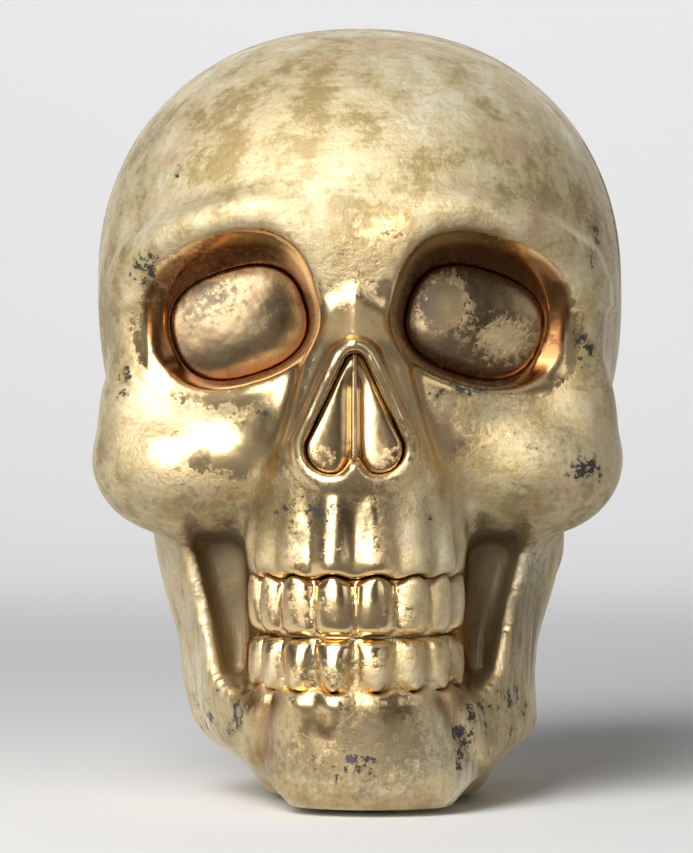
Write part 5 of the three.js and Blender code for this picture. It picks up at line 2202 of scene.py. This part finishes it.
@dataclass
class Studio:
    """The pale floor, the soft lights, the surroundings and the camera."""

    target: Point = (-3.95, 2.17, 105)
    distance: float = 1075
    azimuth: float = 1.1
    focal_pixels: float = 3675
    long_side: float = 853
    sensor: float = 36
    far_clip: float = 50
    floor_radius: float = 2600
    floor_flat: float = 1500
    floor_segments: int = 96
    bend_steps: int = 24
    weld: float = 1e-5
    wall_height: float = 2600
    floor_colour: Colour = (0.88, 0.88, 0.88)
    floor_shade: Colour = (0.8712, 0.8712, 0.8712)
    floor_bounce: Colour = (0.26, 0.26, 0.26)
    floor_grain: Grain = Grain(400, 2, 0.5)
    floor_roughness: float = 0.9
    floor_specular: float = 0.1
    room_colour: Colour = (0.8, 0.8, 0.8)
    room_fill: float = 0.08
    room_seen: float = 0.55
    card_width: float = 3000
    card_profile: tuple[tuple[float, float], ...] = ((-130, 1), (-1500, 1), (-1700, 100), (-1700, 2300))
    card_dark: Colour = (0.16, 0.16, 0.16)
    card_light: Colour = (0.2, 0.2, 0.2)
    card_grain: Grain = Grain(60, 3, 0.5)
    lamps: tuple[Lamp, ...] = (
        Lamp("key", (-560, -1180, 630), (900, 1200), 20.5),
        Lamp("top", (-470, -930, 1060), (1000, 700), 10),
        Lamp("side", (900, -1100, 450), (600, 600), 1.2),
        Lamp("backdrop", (0, 1600, 1650), (2400, 900), 20, (0, 2500, 450)),
        Lamp("horizon", (0, 1350, 800), (2600, 300), 1.6, (0, 1350, 0)),
    )

    def floor(self) -> None:
        """Make a round floor that sweeps up into a wall."""
        bend = self.floor_radius - self.floor_flat
        profile = [(0, 0)]
        for n in range(self.bend_steps + 1):
            turn = math.pi / 2 * n / self.bend_steps
            profile.append((self.floor_flat + bend * math.sin(turn), bend * (1 - math.cos(turn))))
        profile.append((self.floor_radius, self.wall_height))
        mesh = bpy.data.meshes.new("floor")
        round_z = {"axis": (0, 0, 1), "cent": (0, 0, 0), "angle": 2 * math.pi}
        with edited(mesh) as bm:
            path = [bm.verts.new((x * MM, 0, z * MM)) for x, z in profile]
            edges = [bm.edges.new(pair) for pair in zip(path, path[1:])]
            bmesh.ops.spin(bm, geom=path + edges, steps=self.floor_segments, use_merge=True, **round_z)
            bmesh.ops.remove_doubles(bm, verts=bm.verts, dist=self.weld)
            bmesh.ops.recalc_face_normals(bm, faces=bm.faces)
        mesh.shade_smooth()
        board = Board("floor_paper")
        tint = board.blend(board.noise(self.floor_grain), self.floor_shade, self.floor_colour)
        rays = board.tree.nodes.new("ShaderNodeLightPath").outputs
        seen = board.math("MAXIMUM", rays["Is Camera Ray"], rays["Is Glossy Ray"])
        seen = board.math("MAXIMUM", seen, rays["Is Transmission Ray"])
        board.fix(Base_Color=board.blend(seen, self.floor_bounce, tint))
        board.fix(Roughness=self.floor_roughness, Specular_IOR_Level=self.floor_specular)
        mesh.materials.append(board.material)
        floor = stand("floor", mesh)
        floor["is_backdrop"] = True

    def card(self) -> None:
        """Hang a dark card behind the camera, its foot laid out in front, that only the leaf mirrors."""
        half = self.card_width / 2 * MM
        mesh = bpy.data.meshes.new("card")
        with edited(mesh) as bm:
            path = [bm.verts.new((-half, y * MM, z * MM)) for y, z in self.card_profile]
            edges = [bm.edges.new(pair) for pair in zip(path, path[1:])]
            swept = bmesh.ops.extrude_edge_only(bm, edges=edges)["geom"]
            far = [v for v in swept if isinstance(v, BMVert)]
            bmesh.ops.translate(bm, verts=far, vec=(2 * half, 0, 0))
        board = Board("card_cloth")
        board.fix(Base_Color=board.blend(board.noise(self.card_grain), self.card_dark, self.card_light))
        board.fix(Roughness=1.0)
        mesh.materials.append(board.material)
        card = stand("card", mesh)
        card.visible_camera = False
        card.visible_diffuse = False
        card.visible_shadow = False
        card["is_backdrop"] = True

    def surroundings(self) -> None:
        """Light the room above the wall evenly."""
        world = bpy.data.worlds.new("room")
        world.use_nodes = True
        nodes, links = world.node_tree.nodes, world.node_tree.links
        nodes["Background"].inputs["Color"].default_value = (*self.room_colour, 1)
        path = nodes.new("ShaderNodeLightPath")
        seen = [path.outputs[name] for name in ("Is Camera Ray", "Is Glossy Ray", "Is Transmission Ray")]
        for _ in seen[1:]:
            most = nodes.new("ShaderNodeMath")
            most.operation = "MAXIMUM"
            links.new(seen.pop(), most.inputs[0])
            links.new(seen.pop(), most.inputs[1])
            seen.append(most.outputs[0])
        strength = nodes.new("ShaderNodeMapRange")
        links.new(seen[0], strength.inputs["Value"])
        strength.inputs["To Min"].default_value = self.room_fill
        strength.inputs["To Max"].default_value = self.room_seen
        links.new(strength.outputs["Result"], nodes["Background"].inputs["Strength"])
        bpy.context.scene.world = world

    def camera(self) -> None:
        """Place the camera at the photograph's angle."""
        data = bpy.data.cameras.new("camera")
        data.sensor_width = self.sensor
        data.lens = self.focal_pixels / self.long_side * self.sensor
        data.clip_end = self.far_clip
        camera = stand("camera", data)
        turn = math.radians(self.azimuth)
        back = Vector((math.sin(turn), -math.cos(turn), 0))
        camera.location = (Vector(self.target) + back * self.distance) * MM
        camera.rotation_euler = (-back).to_track_quat("-Z", "Y").to_euler()
        bpy.context.scene.camera = camera

    def build(self) -> None:
        """Set up the whole studio."""
        self.camera()
        self.floor()
        self.card()
        self.surroundings()
        for lamp in self.lamps:
            lamp.hang()
        bpy.context.scene.view_settings.view_transform = "Standard"


def main() -> None:
    """Build the studio and every piece, and log each piece's face count."""
    logging.basicConfig(level=logging.INFO, format="%(name)s: %(message)s")
    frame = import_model()
    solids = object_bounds()
    Studio().build()
    form = SkullForm()
    disc_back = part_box("left_eye_disc")[1].y / MM
    shift = Vector((0, disc_back - form.eyes.floor_y + form.arch.fit_gap, 0))
    low, high = (np.array(corner) for corner in solids)
    shop = Workshop(frame["nodes"], form, shift, LeafMap(form), low, high)
    for assembly in (SkullShells, ToothRows, EyeDiscs, NoseInsert, Base):
        for piece in assembly(shop).build():
            LOG.info("%s: %s, %d faces", assembly.__name__, piece.name, len(piece.data.polygons))


if __name__ == "__main__":
    main()
